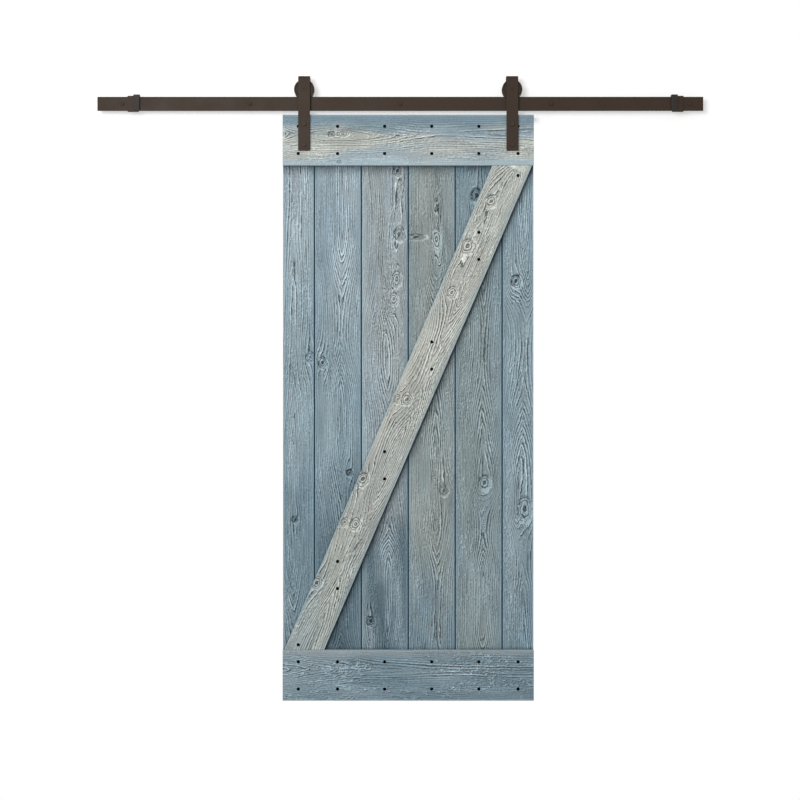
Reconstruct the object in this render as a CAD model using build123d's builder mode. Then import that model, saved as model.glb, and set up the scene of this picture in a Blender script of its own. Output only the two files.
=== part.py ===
"""Sliding barn door on a flat-bar track.

A ledged leaf of six tongue-and-groove planks carries a top rail, a bottom rail and one diagonal brace on
its front face. Two bent-strap hangers are bolted to the leaf. Each strap folds over a grooved wheel that
rolls on the top edge of the track bar. The bar stands off the wall on five spacers, and a clamped stop
with a rubber bumper ends the travel on each side.

Millimetres, +Z up, +X to the right when the front is seen. The wall is the plane Y = 0 and the front of
the door looks along -Y. The origin is the middle of the centre spacer's wall face, at mid-height of the bar.
Depths are counted from the wall, so a depth of 35 lies at Y = -35, on Plane.XZ.offset(35).
"""

from build123d import *
import os
from math import acos, atan2, cos, hypot, radians, tan

os.makedirs("parts", exist_ok=True)

# Leaf
door_width = 914.4
door_height = 2133.6
door_shift = 28.8
plank_pitch = 171.45
wide_planks = 4
plank_thickness = 17.5
board_thickness = 17.5
rail_board_height = 184.15
brace_width = 133.35
brace_side_inset = 6.0
brace_end_gap = 0.5
board_easing = 1.5

# Plank joints
joint_gap = 0.4
joint_bevel = 2.0
joint_back_bevel = 1.0
tongue_length = 8.0
tongue_thickness = 6.0
tongue_clearance = 0.2

# Screws that hold the boards to the planks
screw_head_radius = 6.0
screw_head_angle = 82.0
screw_head_sink = 0.4
screw_shank_radius = 2.6
screw_length = 27.0
screw_hole_clearance = 0.15
screw_rows_apart = 99.0
brace_pair_drop = 10.0
brace_end_screw_low = 19.0
brace_end_screw_high = 37.0

# Track bar, its spacers and its lag bolts
bar_length = 2210.0
bar_height = 50.8
bar_thickness = 6.0
bar_easing = 0.6
spacer_length = 35.0
spacer_radius = 10.0
spacer_easing = 1.0
inner_bolt_pitch = 550.0
left_bolt_inset = 91.0
right_bolt_inset = 49.0
lag_shank_radius = 4.0
lag_hole_clearance = 0.3
lag_in_wall = 55.0
lag_tip_length = 9.0

# Hexagon heads and nuts
hex_head_flats = 13.0
hex_head_height = 5.3
hex_easing = 0.7
hex_nut_height = 6.5
washer_radius = 10.0
washer_thickness = 1.6
bolt_end = 2.0

# Wheels
wheel_radius = 37.0
wheel_width = 24.0
groove_depth = 11.7
groove_width = 8.0
groove_flare = 1.2
wheel_easing = 1.5
wheel_face_recess = 2.0
hub_land_radius = 19.0
rim_land_width = 5.0
running_gap = 0.3

# Ball bearing in each wheel
bearing_radius = 13.0
bearing_width = 8.0
bearing_shield_recess = 0.6
bearing_race_width = 2.2
bearing_seat_clearance = 0.05
bearing_stop_radius = 10.5

# Axles
axle_radius = 5.0
axle_running_clearance = 0.05
axle_head_radius = 9.0
axle_head_depth = 3.6
axle_thread_radius = 4.0
axle_nut_flats = 15.0
axle_nut_height = 7.0
bushing_radius = 7.5
bushing_clearance = 0.2

# Hanger straps
strap_width = 43.0
strap_thickness = 5.0
strap_bend_radius = 8.0
strap_lap = 132.0
strap_end_radius = 4.0
strap_arm_drop = 20.5
strap_arm_radius = 18.0
strap_edge_easing = 0.5
strap_side_clearance = 1.5
strap_top_clearance = 7.0
strap_to_joint = 14.5
strap_bolt_first = 35.4
strap_bolt_pitch = 75.0
strap_bolt_radius = 4.0
strap_bolt_clearance = 0.25
door_top_gap = 16.5

# Stops
left_stop_inset = 133.0
right_stop_inset = 95.0
stop_length = 45.0
stop_wall = 3.0
stop_fit = 0.3
stop_lip_opening = 20.0
bumper_length = 23.0
bumper_overhang = 6.0
bumper_rise = 6.8
bumper_front = 5.0
bumper_low_corner = 6.0
bumper_nose_radius = 3.0
set_screw_radius = 3.0
set_screw_clearance = 0.1
set_screw_inset = 11.0
set_screw_socket_flats = 3.0
set_screw_socket_depth = 2.0

# Depths from the wall
bar_front = spacer_length + bar_thickness
wheel_middle = spacer_length + bar_thickness / 2
strap_seat = wheel_middle + wheel_width / 2 + strap_side_clearance
strap_face = strap_seat + strap_thickness
arm_inside = wheel_middle - wheel_width / 2 - strap_side_clearance
arm_outside = arm_inside - strap_thickness
board_back = strap_seat - board_thickness
plank_back = board_back - plank_thickness

# Heights
groove_radius = wheel_radius - groove_depth
axle_height = bar_height / 2 + running_gap + groove_radius
strap_top = axle_height + wheel_radius + strap_top_clearance + strap_thickness
door_top = -bar_height / 2 - door_top_gap
door_bottom = door_top - door_height
brace_top = door_top - rail_board_height - brace_end_gap
brace_bottom = door_bottom + rail_board_height + brace_end_gap

# Places across the leaf
left_side = door_shift - door_width / 2
right_side = door_shift + door_width / 2
first_joint = door_shift - wide_planks / 2 * plank_pitch
joints = [first_joint + i * plank_pitch for i in range(wide_planks + 1)]
plank_edges = [left_side, *joints, right_side]
plank_middles = [(a + b) / 2 for a, b in zip(plank_edges, plank_edges[1:])]
joint_to_hanger = strap_to_joint + strap_width / 2
hanger_places = {"left": joints[0] - joint_to_hanger, "right": joints[-1] + joint_to_hanger}

# Places along the bar
inner_bolts = [-inner_bolt_pitch, 0.0, inner_bolt_pitch]
bolt_places = [left_bolt_inset - bar_length / 2, *inner_bolts, bar_length / 2 - right_bolt_inset]
stop_places = {"left": left_stop_inset - bar_length / 2, "right": bar_length / 2 - right_stop_inset}

# Lean of the brace from the vertical, so that its two edges end at the same distance from the leaf's sides
brace_span = door_width - 2 * brace_side_inset
brace_rise = brace_top - brace_bottom
brace_lean = acos(brace_width / hypot(brace_span, brace_rise)) - atan2(brace_rise, brace_span)
brace_cut = brace_width / cos(brace_lean)


def brace_height_at(x):
    """Height of the brace's centreline over a place across the leaf."""
    middle = (brace_top + brace_bottom) / 2
    return middle + (x - door_shift) / tan(brace_lean)


def board_screws(board_middle):
    """Two rows of screws in a level board, one pair over each plank."""
    return [(x, board_middle + side * screw_rows_apart / 2) for x in plank_middles for side in (1, -1)]


top_board_screws = board_screws(door_top - rail_board_height / 2)
bottom_board_screws = board_screws(door_bottom + rail_board_height / 2)
brace_pairs = [
    (x, brace_height_at(x) - brace_pair_drop + side * screw_rows_apart / 2)
    for x in plank_middles[1:-1]
    for side in (1, -1)
]
brace_screws = [
    (plank_middles[0], brace_bottom + brace_end_screw_low),
    *brace_pairs,
    (plank_middles[-1], brace_top - brace_end_screw_high),
]
strap_bolts = {
    side: [(x, door_top - strap_bolt_first - row * strap_bolt_pitch) for row in range(2)]
    for side, x in hanger_places.items()
}
through_bolts = [point for points in strap_bolts.values() for point in points]

screw_slope = tan(radians(screw_head_angle / 2))
screw_head_height = (screw_head_radius - screw_shank_radius) / screw_slope
screw_hole_radius = screw_shank_radius + screw_hole_clearance
screw_sink_radius = screw_head_radius + screw_hole_clearance + screw_head_sink * screw_slope
screw_face = strap_seat - screw_head_sink
screw_tip = screw_face - screw_length
through_hole_radius = strap_bolt_radius + strap_bolt_clearance
lag_hole_radius = lag_shank_radius + lag_hole_clearance


def turning_plane(x, z):
    """Plane of a turned profile about a line square to the wall: local X is depth, local Y is radius."""
    return Plane(origin=(x, 0, z), x_dir=(0, -1, 0), z_dir=(-1, 0, 0))


def turning_axis(x, z):
    return Axis((x, 0, z), (0, -1, 0))


def save(built, name):
    """Labels a finished sub-part and writes it."""
    built.part.label = name
    export_step(built.part, f"parts/{name}.step")


def over(points, low, high, radius):
    """The points whose hole of that radius reaches the stretch from low to high across the leaf."""
    return [point for point in points if low - radius < point[0] < high + radius]


def plank(number):
    """A full-height plank with a tongue on its right and a groove on its left. The outer ones have a plain side."""
    first = number == 0
    last = number == len(plank_middles) - 1
    left = plank_edges[number] + (0 if first else joint_gap / 2)
    right = plank_edges[number + 1] - (0 if last else joint_gap / 2)
    front = -board_back
    back = -plank_back
    middle = (front + back) / 2
    left_bevel = joint_back_bevel if first else joint_bevel
    right_bevel = joint_back_bevel if last else joint_bevel
    half_tongue = tongue_thickness / 2
    half_groove = half_tongue + tongue_clearance
    tongue = [
        (right, middle - half_tongue),
        (right + tongue_length, middle - half_tongue),
        (right + tongue_length, middle + half_tongue),
        (right, middle + half_tongue),
    ]
    groove = [
        (left, middle + half_groove),
        (left + tongue_length, middle + half_groove),
        (left + tongue_length, middle - half_groove),
        (left, middle - half_groove),
    ]
    outline = [
        (left, front + left_bevel),
        (left + left_bevel, front),
        (right - right_bevel, front),
        (right, front + right_bevel),
        *([] if last else tongue),
        (right, back - joint_back_bevel),
        (right - joint_back_bevel, back),
        (left + joint_back_bevel, back),
        (left, back - joint_back_bevel),
        *([] if first else groove),
    ]
    screws = top_board_screws + bottom_board_screws + brace_screws
    with BuildPart() as board:
        with BuildSketch(Plane.XY.offset(door_bottom)):
            with BuildLine():
                Polyline(*outline, close=True)
            make_face()
        extrude(amount=door_height)
        with BuildSketch(Plane.XZ.offset(board_back)):
            with Locations(*over(screws, left, right, screw_hole_radius)):
                Circle(screw_hole_radius)
        extrude(amount=screw_tip - board_back, mode=Mode.SUBTRACT)
        holes = over(through_bolts, left, right + tongue_length, through_hole_radius)
        if holes:
            with BuildSketch(Plane.XZ.offset(board_back)):
                with Locations(*holes):
                    Circle(through_hole_radius)
            extrude(amount=-plank_thickness, mode=Mode.SUBTRACT)
    return board


def front_board(corners, screws, bolts):
    """A board on the front of the planks, eased round its face, with sunk screw holes and plain bolt holes."""
    with BuildPart() as board:
        with BuildSketch(Plane.XZ.offset(board_back)):
            with BuildLine():
                Polyline(*corners, close=True)
            make_face()
        extrude(amount=board_thickness)
        chamfer(board.faces().sort_by(Axis.Y)[0].edges(), board_easing)
        with Locations(Plane.XZ.offset(strap_seat)):
            with Locations(*screws):
                CounterSinkHole(screw_hole_radius, screw_sink_radius, board_thickness, screw_head_angle)
            if bolts:
                with Locations(*bolts):
                    Hole(through_hole_radius, board_thickness)
    return board


def level_board(low, high, screws, bolts):
    corners = [(left_side, low), (right_side, low), (right_side, high), (left_side, high)]
    return front_board(corners, screws, bolts)


def brace():
    """The diagonal, cut level at both ends to butt against the two rails."""
    foot = left_side + brace_side_inset
    head = right_side - brace_side_inset
    corners = [
        (foot, brace_bottom),
        (foot + brace_cut, brace_bottom),
        (head, brace_top),
        (head - brace_cut, brace_top),
    ]
    return front_board(corners, brace_screws, [])


def screw_set(points):
    """Flat-headed screws, sunk just below the board's face."""
    end = screw_tip + screw_hole_clearance
    with BuildPart() as screws:
        for x, z in points:
            with BuildSketch(turning_plane(x, z)):
                with BuildLine():
                    Polyline(
                        (screw_face, 0),
                        (screw_face, screw_head_radius),
                        (screw_face - screw_head_height, screw_shank_radius),
                        (end, screw_shank_radius),
                        (end, 0),
                        close=True,
                    )
                make_face()
            revolve(axis=turning_axis(x, z))
    return screws


def hexagon(x, z, seat, height, flats):
    """A hexagon head or nut from its seat outwards, eased on its outer face."""
    with BuildPart() as head:
        with BuildSketch(Plane.XZ.offset(seat)):
            with Locations((x, z)):
                RegularPolygon(flats / 2, 6, major_radius=False)
        extrude(amount=height)
        outer = head.faces().sort_by(Axis.Y)[0 if height > 0 else -1]
        chamfer(outer.edges(), hex_easing)
    return head.part


def track_bar():
    with BuildPart() as bar:
        with BuildSketch(Plane.XZ.offset(spacer_length)):
            Rectangle(bar_length, bar_height)
        extrude(amount=bar_thickness)
        chamfer(bar.edges().filter_by(Axis.X), bar_easing)
        with BuildSketch(Plane.XZ.offset(bar_front)):
            with Locations(*[(x, 0) for x in bolt_places]):
                Circle(lag_hole_radius)
        extrude(amount=-bar_thickness, mode=Mode.SUBTRACT)
    return bar


def wall_spacer(x):
    """A turned tube between the wall and the bar."""
    with BuildPart() as spacer:
        with BuildSketch(Plane.XZ):
            with Locations((x, 0)):
                Circle(spacer_radius)
        extrude(amount=spacer_length)
        chamfer(spacer.edges(), spacer_easing)
        with BuildSketch(Plane.XZ):
            with Locations((x, 0)):
                Circle(lag_hole_radius)
        extrude(amount=spacer_length, mode=Mode.SUBTRACT)
    return spacer


def lag_bolt(x):
    """A hexagon-headed wood screw through the bar and its spacer into the wall, with a pointed tip."""
    head = hexagon(x, 0, bar_front, hex_head_height, hex_head_flats)
    with BuildPart() as bolt:
        add(head)
        with BuildSketch(turning_plane(x, 0)):
            with BuildLine():
                Polyline(
                    (bar_front, 0),
                    (bar_front, lag_shank_radius),
                    (lag_tip_length - lag_in_wall, lag_shank_radius),
                    (-lag_in_wall, 0),
                    close=True,
                )
            make_face()
        revolve(axis=turning_axis(x, 0))
    return bolt


def hanger_strap(side):
    """A flat bar folded over the wheel: a long arm down the front of the leaf and a short arm behind the wheel."""
    x = hanger_places[side]
    arm_end = axle_height - strap_arm_drop
    strap_end = door_top - strap_lap
    with BuildPart() as strap:
        with BuildSketch(Plane.YZ.offset(x - strap_width / 2)):
            with BuildLine():
                outside = FilletPolyline(
                    (-strap_face, strap_end),
                    (-strap_face, strap_top),
                    (-arm_outside, strap_top),
                    (-arm_outside, arm_end),
                    radius=strap_bend_radius + strap_thickness,
                )
                inside = FilletPolyline(
                    (-arm_inside, arm_end),
                    (-arm_inside, strap_top - strap_thickness),
                    (-strap_seat, strap_top - strap_thickness),
                    (-strap_seat, strap_end),
                    radius=strap_bend_radius,
                )
                Line(outside @ 1, inside @ 0)
                Line(inside @ 1, outside @ 0)
            make_face()
        extrude(amount=strap_width)
        across = strap.edges().filter_by(Axis.Y)
        fillet(across.group_by(Axis.Z)[0], strap_end_radius)
        behind = strap.edges().filter_by(Axis.Y).filter_by_position(Axis.Z, arm_end - 1, arm_end + 1)
        fillet(behind, strap_arm_radius)
        chamfer(strap.faces().sort_by(Axis.Y)[0].edges(), strap_edge_easing)
        with BuildSketch(Plane.XZ.offset(strap_face)):
            with Locations(*strap_bolts[side]):
                Circle(through_hole_radius)
        extrude(amount=-strap_thickness, mode=Mode.SUBTRACT)
        with BuildSketch(turning_plane(x, axle_height)):
            with BuildLine():
                Polyline(*axle_outline(axle_running_clearance), close=True)
            make_face()
        revolve(axis=turning_axis(x, axle_height), mode=Mode.SUBTRACT)
    return strap


def axle_outline(clearance):
    """Half outline of the axle grown by a clearance: a sunk head, a smooth shank and a threaded end."""
    neck = strap_face - axle_head_depth
    thread_end = arm_outside - axle_nut_height - bolt_end
    return [
        (strap_face, 0),
        (strap_face, axle_head_radius + clearance),
        (neck, axle_radius + clearance),
        (arm_inside, axle_radius + clearance),
        (arm_inside, axle_thread_radius + clearance),
        (thread_end, axle_thread_radius + clearance),
        (thread_end, 0),
    ]


def wheel_axle(side):
    x = hanger_places[side]
    with BuildPart() as axle:
        with BuildSketch(turning_plane(x, axle_height)):
            with BuildLine():
                Polyline(*axle_outline(0), close=True)
            make_face()
        revolve(axis=turning_axis(x, axle_height))
    return axle


def axle_nut(side):
    x = hanger_places[side]
    nut = hexagon(x, axle_height, arm_outside, -axle_nut_height, axle_nut_flats)
    with BuildPart() as bored:
        add(nut)
        with BuildSketch(Plane.XZ.offset(arm_outside)):
            with Locations((x, axle_height)):
                Circle(axle_thread_radius + axle_running_clearance)
        extrude(amount=-axle_nut_height, mode=Mode.SUBTRACT)
    return bored


def axle_bushings(side):
    """Two tubes that keep the bearing in the middle between the strap's arms."""
    x = hanger_places[side]
    reach = bearing_width / 2 + bushing_clearance
    with BuildPart() as bushings:
        for start, end in ((arm_inside, wheel_middle - reach), (wheel_middle + reach, strap_seat)):
            with BuildSketch(Plane.XZ.offset(start)):
                with Locations((x, axle_height)):
                    Circle(bushing_radius)
                    Circle(axle_radius + axle_running_clearance, mode=Mode.SUBTRACT)
            extrude(amount=end - start)
    return bushings


def grooved_wheel(side):
    """A turned wheel with two flanges that straddle the bar, a recessed face and a seat for the bearing."""
    x = hanger_places[side]
    half = wheel_width / 2
    half_groove = groove_width / 2
    rim_land = wheel_radius - rim_land_width
    seat_front = bearing_width / 2
    with BuildPart() as wheel:
        with BuildSketch(turning_plane(x, axle_height)):
            with BuildLine():
                Polyline(
                    (wheel_middle - half, bearing_stop_radius),
                    (wheel_middle - half, hub_land_radius),
                    (wheel_middle - half + wheel_face_recess, hub_land_radius + wheel_face_recess),
                    (wheel_middle - half + wheel_face_recess, rim_land - wheel_face_recess),
                    (wheel_middle - half, rim_land),
                    (wheel_middle - half, wheel_radius - wheel_easing),
                    (wheel_middle - half + wheel_easing, wheel_radius),
                    (wheel_middle - half_groove - groove_flare, wheel_radius),
                    (wheel_middle - half_groove, groove_radius),
                    (wheel_middle + half_groove, groove_radius),
                    (wheel_middle + half_groove + groove_flare, wheel_radius),
                    (wheel_middle + half - wheel_easing, wheel_radius),
                    (wheel_middle + half, wheel_radius - wheel_easing),
                    (wheel_middle + half, rim_land),
                    (wheel_middle + half - wheel_face_recess, rim_land - wheel_face_recess),
                    (wheel_middle + half - wheel_face_recess, hub_land_radius + wheel_face_recess),
                    (wheel_middle + half, hub_land_radius),
                    (wheel_middle + half, bearing_radius + bearing_seat_clearance),
                    (wheel_middle - seat_front, bearing_radius + bearing_seat_clearance),
                    (wheel_middle - seat_front, bearing_stop_radius),
                    close=True,
                )
            make_face()
        revolve(axis=turning_axis(x, axle_height))
    return wheel


def wheel_bearing(side):
    """A shielded ball bearing: two races with a shield set back between them."""
    x = hanger_places[side]
    half = bearing_width / 2
    bore = axle_radius + axle_running_clearance
    inner_race = bore + bearing_race_width
    outer_race = bearing_radius - bearing_race_width
    with BuildPart() as bearing:
        with BuildSketch(turning_plane(x, axle_height)):
            with BuildLine():
                Polyline(
                    (wheel_middle - half, bore),
                    (wheel_middle - half, inner_race),
                    (wheel_middle - half + bearing_shield_recess, inner_race),
                    (wheel_middle - half + bearing_shield_recess, outer_race),
                    (wheel_middle - half, outer_race),
                    (wheel_middle - half, bearing_radius),
                    (wheel_middle + half, bearing_radius),
                    (wheel_middle + half, outer_race),
                    (wheel_middle + half - bearing_shield_recess, outer_race),
                    (wheel_middle + half - bearing_shield_recess, inner_race),
                    (wheel_middle + half, inner_race),
                    (wheel_middle + half, bore),
                    close=True,
                )
            make_face()
        revolve(axis=turning_axis(x, axle_height))
    return bearing


def hanger_bolts(side):
    """Hexagon bolts through the strap, the top rail and the plank."""
    heads = [hexagon(x, z, strap_face, hex_head_height, hex_head_flats) for x, z in strap_bolts[side]]
    shank_end = plank_back - washer_thickness - hex_nut_height - bolt_end
    with BuildPart() as bolts:
        add(heads)
        with BuildSketch(Plane.XZ.offset(strap_face)):
            with Locations(*strap_bolts[side]):
                Circle(strap_bolt_radius)
        extrude(amount=shank_end - strap_face)
    return bolts


def hanger_nuts(side):
    """A washer and a nut on each bolt, behind the planks."""
    nut_seat = plank_back - washer_thickness
    nuts = [hexagon(x, z, nut_seat, -hex_nut_height, hex_head_flats) for x, z in strap_bolts[side]]
    with BuildPart() as pairs:
        add(nuts)
        with BuildSketch(Plane.XZ.offset(plank_back)):
            with Locations(*strap_bolts[side]):
                Circle(washer_radius)
        extrude(amount=-washer_thickness)
        with BuildSketch(Plane.XZ.offset(plank_back)):
            with Locations(*strap_bolts[side]):
                Circle(through_hole_radius)
        extrude(amount=-washer_thickness - hex_nut_height, mode=Mode.SUBTRACT)
    return pairs


def stop_plane(side):
    """Plane across the bar at a stop's outer end, facing along the bar towards the leaf.

    Local X is depth on the left and its opposite on the right, so that the plane's normal points inward.
    """
    inward = 1 if side == "left" else -1
    outer_end = stop_places[side] - inward * stop_length / 2
    return Plane(origin=(outer_end, -wheel_middle, 0), x_dir=(0, inward, 0), z_dir=(inward, 0, 0))


def stop_clamp(side):
    """A folded clip round the bar, open along the middle of its back."""
    across = stop_plane(side)
    to_back = 1 if side == "left" else -1
    inside_height = bar_height + 2 * stop_fit
    inside_depth = bar_thickness + 2 * stop_fit
    with BuildPart() as clamp:
        with BuildSketch(across):
            Rectangle(inside_depth + 2 * stop_wall, inside_height + 2 * stop_wall)
            Rectangle(inside_depth, inside_height, mode=Mode.SUBTRACT)
            with Locations((to_back * (inside_depth + stop_wall) / 2, 0)):
                Rectangle(2 * stop_wall, stop_lip_opening, mode=Mode.SUBTRACT)
        extrude(amount=stop_length - bumper_overhang)
        folds = clamp.edges().filter_by(Axis.X)
        outer = folds.filter_by(lambda edge: abs(edge.center().Z) > inside_height / 2 + stop_wall / 2)
        fillet(outer, stop_wall / 2)
        with BuildSketch(Plane.XY.offset(-inside_height / 2 - stop_wall)):
            with Locations(set_screw_place(side)):
                Circle(set_screw_radius)
        extrude(amount=stop_wall, mode=Mode.SUBTRACT)
    return clamp


def stop_bumper(side):
    """A rubber block on the clip's front and top. It overhangs the clip and is the first thing the wheel meets."""
    across = stop_plane(side)
    to_back = 1 if side == "left" else -1
    clip_half = bar_height / 2 + stop_fit + stop_wall
    clip_depth = bar_thickness / 2 + stop_fit + stop_wall
    block_top = bar_height / 2 + bumper_rise
    with BuildPart() as bumper:
        with BuildSketch(across.offset(stop_length - bumper_length)):
            with BuildLine():
                Polyline(
                    (to_back * clip_depth, clip_half),
                    (to_back * clip_depth, block_top),
                    (-to_back * (clip_depth + bumper_front), block_top),
                    (-to_back * (clip_depth + bumper_front), -clip_half),
                    (-to_back * clip_depth, -clip_half),
                    (-to_back * clip_depth, clip_half),
                    close=True,
                )
            make_face()
        extrude(amount=bumper_length)
        with BuildSketch(across.offset(stop_length - bumper_overhang)):
            with BuildLine():
                Polyline(
                    (to_back * clip_depth, clip_half - stop_wall),
                    (to_back * clip_depth, clip_half),
                    (-to_back * clip_depth, clip_half),
                    (-to_back * clip_depth, -clip_half),
                    (stop_wall * to_back - to_back * clip_depth, -clip_half),
                    (stop_wall * to_back - to_back * clip_depth, clip_half - stop_wall),
                    close=True,
                )
            make_face()
        extrude(amount=bumper_overhang)
        inner_end = bumper.faces().filter_by(Axis.X).sort_by(Axis.X)[-1 if side == "left" else 0]
        fillet(inner_end.edges().filter_by(Axis.Y).sort_by(Axis.Z)[0], bumper_low_corner)
        front = bumper.edges().filter_by(Axis.Z).group_by(Axis.Y)[0].sort_by(Axis.X)
        fillet(front[-1 if side == "left" else 0], bumper_nose_radius)
    return bumper


def set_screw_place(side):
    inward = 1 if side == "left" else -1
    return stop_places[side] - inward * (stop_length / 2 - set_screw_inset), -wheel_middle


def set_screw(side):
    """A grub screw that bears on the bar's lower edge, with a hexagon socket below."""
    bottom = -bar_height / 2 - stop_fit - stop_wall
    with BuildPart() as screw:
        with BuildSketch(Plane.XY.offset(bottom)):
            with Locations(set_screw_place(side)):
                Circle(set_screw_radius - set_screw_clearance)
        extrude(amount=stop_wall + stop_fit)
        with BuildSketch(Plane.XY.offset(bottom)):
            with Locations(set_screw_place(side)):
                RegularPolygon(set_screw_socket_flats / 2, 6, major_radius=False)
        extrude(amount=set_screw_socket_depth, mode=Mode.SUBTRACT)
    return screw


for number in range(len(plank_middles)):
    save(plank(number), f"plank_{number + 1}")
save(level_board(door_top - rail_board_height, door_top, top_board_screws, through_bolts), "top_rail")
save(level_board(door_bottom, door_bottom + rail_board_height, bottom_board_screws, []), "bottom_rail")
save(brace(), "diagonal_brace")
save(screw_set(top_board_screws), "top_rail_screws")
save(screw_set(bottom_board_screws), "bottom_rail_screws")
save(screw_set(brace_screws), "brace_screws")

for side in hanger_places:
    save(hanger_strap(side), f"hanger_strap_{side}")
    save(wheel_axle(side), f"wheel_axle_{side}")
    save(axle_nut(side), f"axle_nut_{side}")
    save(axle_bushings(side), f"axle_bushings_{side}")
    save(grooved_wheel(side), f"wheel_{side}")
    save(wheel_bearing(side), f"wheel_bearing_{side}")
    save(hanger_bolts(side), f"hanger_bolts_{side}")
    save(hanger_nuts(side), f"hanger_nuts_{side}")

save(track_bar(), "track_bar")
for number, x in enumerate(bolt_places, start=1):
    save(wall_spacer(x), f"wall_spacer_{number}")
    save(lag_bolt(x), f"lag_bolt_{number}")
for side in stop_places:
    save(stop_clamp(side), f"stop_clamp_{side}")
    save(stop_bumper(side), f"stop_bumper_{side}")
    save(set_screw(side), f"stop_set_screw_{side}")
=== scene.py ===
"""Sliding barn door: stained pine leaf, painted flat-track hardware, and the studio it is seen in.

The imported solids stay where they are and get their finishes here. Screws, bolts, axles and nuts are remade
with drives, chamfers and threads. Lengths are metres, +Z is up and the front of the door looks along -Y.
"""

import math
from dataclasses import dataclass, field

import bmesh
import bpy
from bpy.props import FloatProperty, FloatVectorProperty, IntProperty, PointerProperty
from bpy.types import Operator, Panel, PropertyGroup
from mathutils import Euler, Matrix, Vector


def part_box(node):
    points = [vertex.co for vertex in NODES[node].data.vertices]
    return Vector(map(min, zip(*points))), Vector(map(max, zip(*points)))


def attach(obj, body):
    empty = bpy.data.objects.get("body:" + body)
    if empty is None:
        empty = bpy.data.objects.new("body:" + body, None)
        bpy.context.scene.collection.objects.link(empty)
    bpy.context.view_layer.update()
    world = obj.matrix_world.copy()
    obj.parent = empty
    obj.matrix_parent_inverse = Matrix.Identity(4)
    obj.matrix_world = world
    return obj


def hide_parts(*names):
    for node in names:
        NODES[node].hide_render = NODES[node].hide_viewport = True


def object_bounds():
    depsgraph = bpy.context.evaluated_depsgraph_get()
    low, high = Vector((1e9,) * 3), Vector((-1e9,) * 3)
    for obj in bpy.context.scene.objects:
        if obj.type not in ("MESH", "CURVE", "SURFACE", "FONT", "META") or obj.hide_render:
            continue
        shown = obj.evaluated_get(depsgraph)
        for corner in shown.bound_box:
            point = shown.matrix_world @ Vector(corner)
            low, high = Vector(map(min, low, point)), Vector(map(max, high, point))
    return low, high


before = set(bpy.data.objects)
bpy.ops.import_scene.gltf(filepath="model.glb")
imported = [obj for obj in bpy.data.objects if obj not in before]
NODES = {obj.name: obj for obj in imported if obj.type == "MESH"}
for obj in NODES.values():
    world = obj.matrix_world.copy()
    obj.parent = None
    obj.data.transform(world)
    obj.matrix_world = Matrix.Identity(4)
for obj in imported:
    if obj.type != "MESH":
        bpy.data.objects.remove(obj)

bl_info = {
    "name": "Sliding Barn Door",
    "version": (1, 0, 0),
    "blender": (4, 5, 0),
    "location": "View3D > Sidebar > Barn Door",
    "description": "Finishes a flat-track sliding barn door: stained pine, painted steel, screws and bolts",
    "category": "Object",
}

CAD_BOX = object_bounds()
SIDES = ("left", "right")
IMAGE_PIXELS = 800

# How far apart the growth rings are measured for their slope
SLOPE_STEP = 0.0015

# Further than any piece of the door reaches
FAR = 9.0


def rgb(red, green, blue):
    """A colour written as it looks on screen, 0 to 255, as the linear values that a shader takes."""
    shares = (value / 255 for value in (red, green, blue))
    return tuple(s / 12.92 if s <= 0.04045 else ((s + 0.055) / 1.055) ** 2.4 for s in shares)


def colour_property(name, description, default):
    return FloatVectorProperty(
        name=name, description=description, subtype="COLOR", size=3, min=0, max=1, default=default
    )


def length_property(name, description, default):
    return FloatProperty(
        name=name, description=description, default=default, unit="LENGTH", subtype="DISTANCE"
    )


class BarnDoorStain(PropertyGroup):
    """Colours of the weathered stain on the boards."""

    mist: colour_property("Mist", "Pale blue-grey of the lightest planks", rgb(158, 173, 180))
    denim: colour_property("Denim", "Middle blue-grey", rgb(138, 157, 165))
    storm: colour_property("Storm", "Dark blue-grey", rgb(115, 136, 146))
    slate: colour_property("Slate", "Darkest blue-grey, low on the planks", rgb(88, 108, 118))
    stone: colour_property("Stone", "Neutral grey", rgb(154, 163, 165))
    sage: colour_property("Sage", "Greenish grey", rgb(145, 154, 152))
    pewter: colour_property("Pewter", "Darker greenish grey", rgb(133, 147, 149))
    driftwood: colour_property("Driftwood", "Warm pale grey of thinly stained wood", rgb(180, 184, 178))
    sand: colour_property("Sand", "Warmest pale grey", rgb(188, 188, 176))
    ash: colour_property("Ash", "Middle warm grey", rgb(168, 172, 168))
    dusk: colour_property("Dusk", "Cool grey at the foot of the brace", rgb(152, 163, 163))
    # Ice is also the painted highlight along the brace's upper left edge
    ice: colour_property("Ice", "Light blue wash on worn edges", rgb(176, 196, 204))
    blue: colour_property("Blue", "Clear blue washed beside the joints", rgb(118, 146, 163))
    # Ink is also the colour of the painted shade beside planted pieces and of the painted shade on knot rims
    ink: colour_property("Ink", "Stain gathered in joints, corners and knots", rgb(14, 28, 38))
    joint: colour_property("Joint", "Dark blue-green in the V-joints", rgb(26, 54, 66))


class BarnDoorGrain(PropertyGroup):
    """How the pine's grain is laid out and how deep it is brushed."""

    ring_spacing: length_property("Ring Spacing", "Distance between growth rings", 0.0065)
    line_width: length_property("Line Width", "Half width of a raised line of grain", 0.0018)
    relief: length_property("Relief", "Height of the brushed grain", 0.0016)
    brace_width: length_property("Brace Width", "Width of the brace across its grain", 0.13335)
    ridge_light: FloatProperty(
        name="Ridge Light", description="How much paler the hard grain is", default=0.95, subtype="FACTOR"
    )
    # Groove Dark sets the painted shade beside the raised grain lines, not a darker soft grain
    groove_dark: FloatProperty(
        name="Groove Dark", description="How much darker the soft grain is", default=0.95, subtype="FACTOR"
    )
    joint_width: length_property("Joint Width", "Half width of the dark line in a V-joint", 0.0024)


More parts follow.
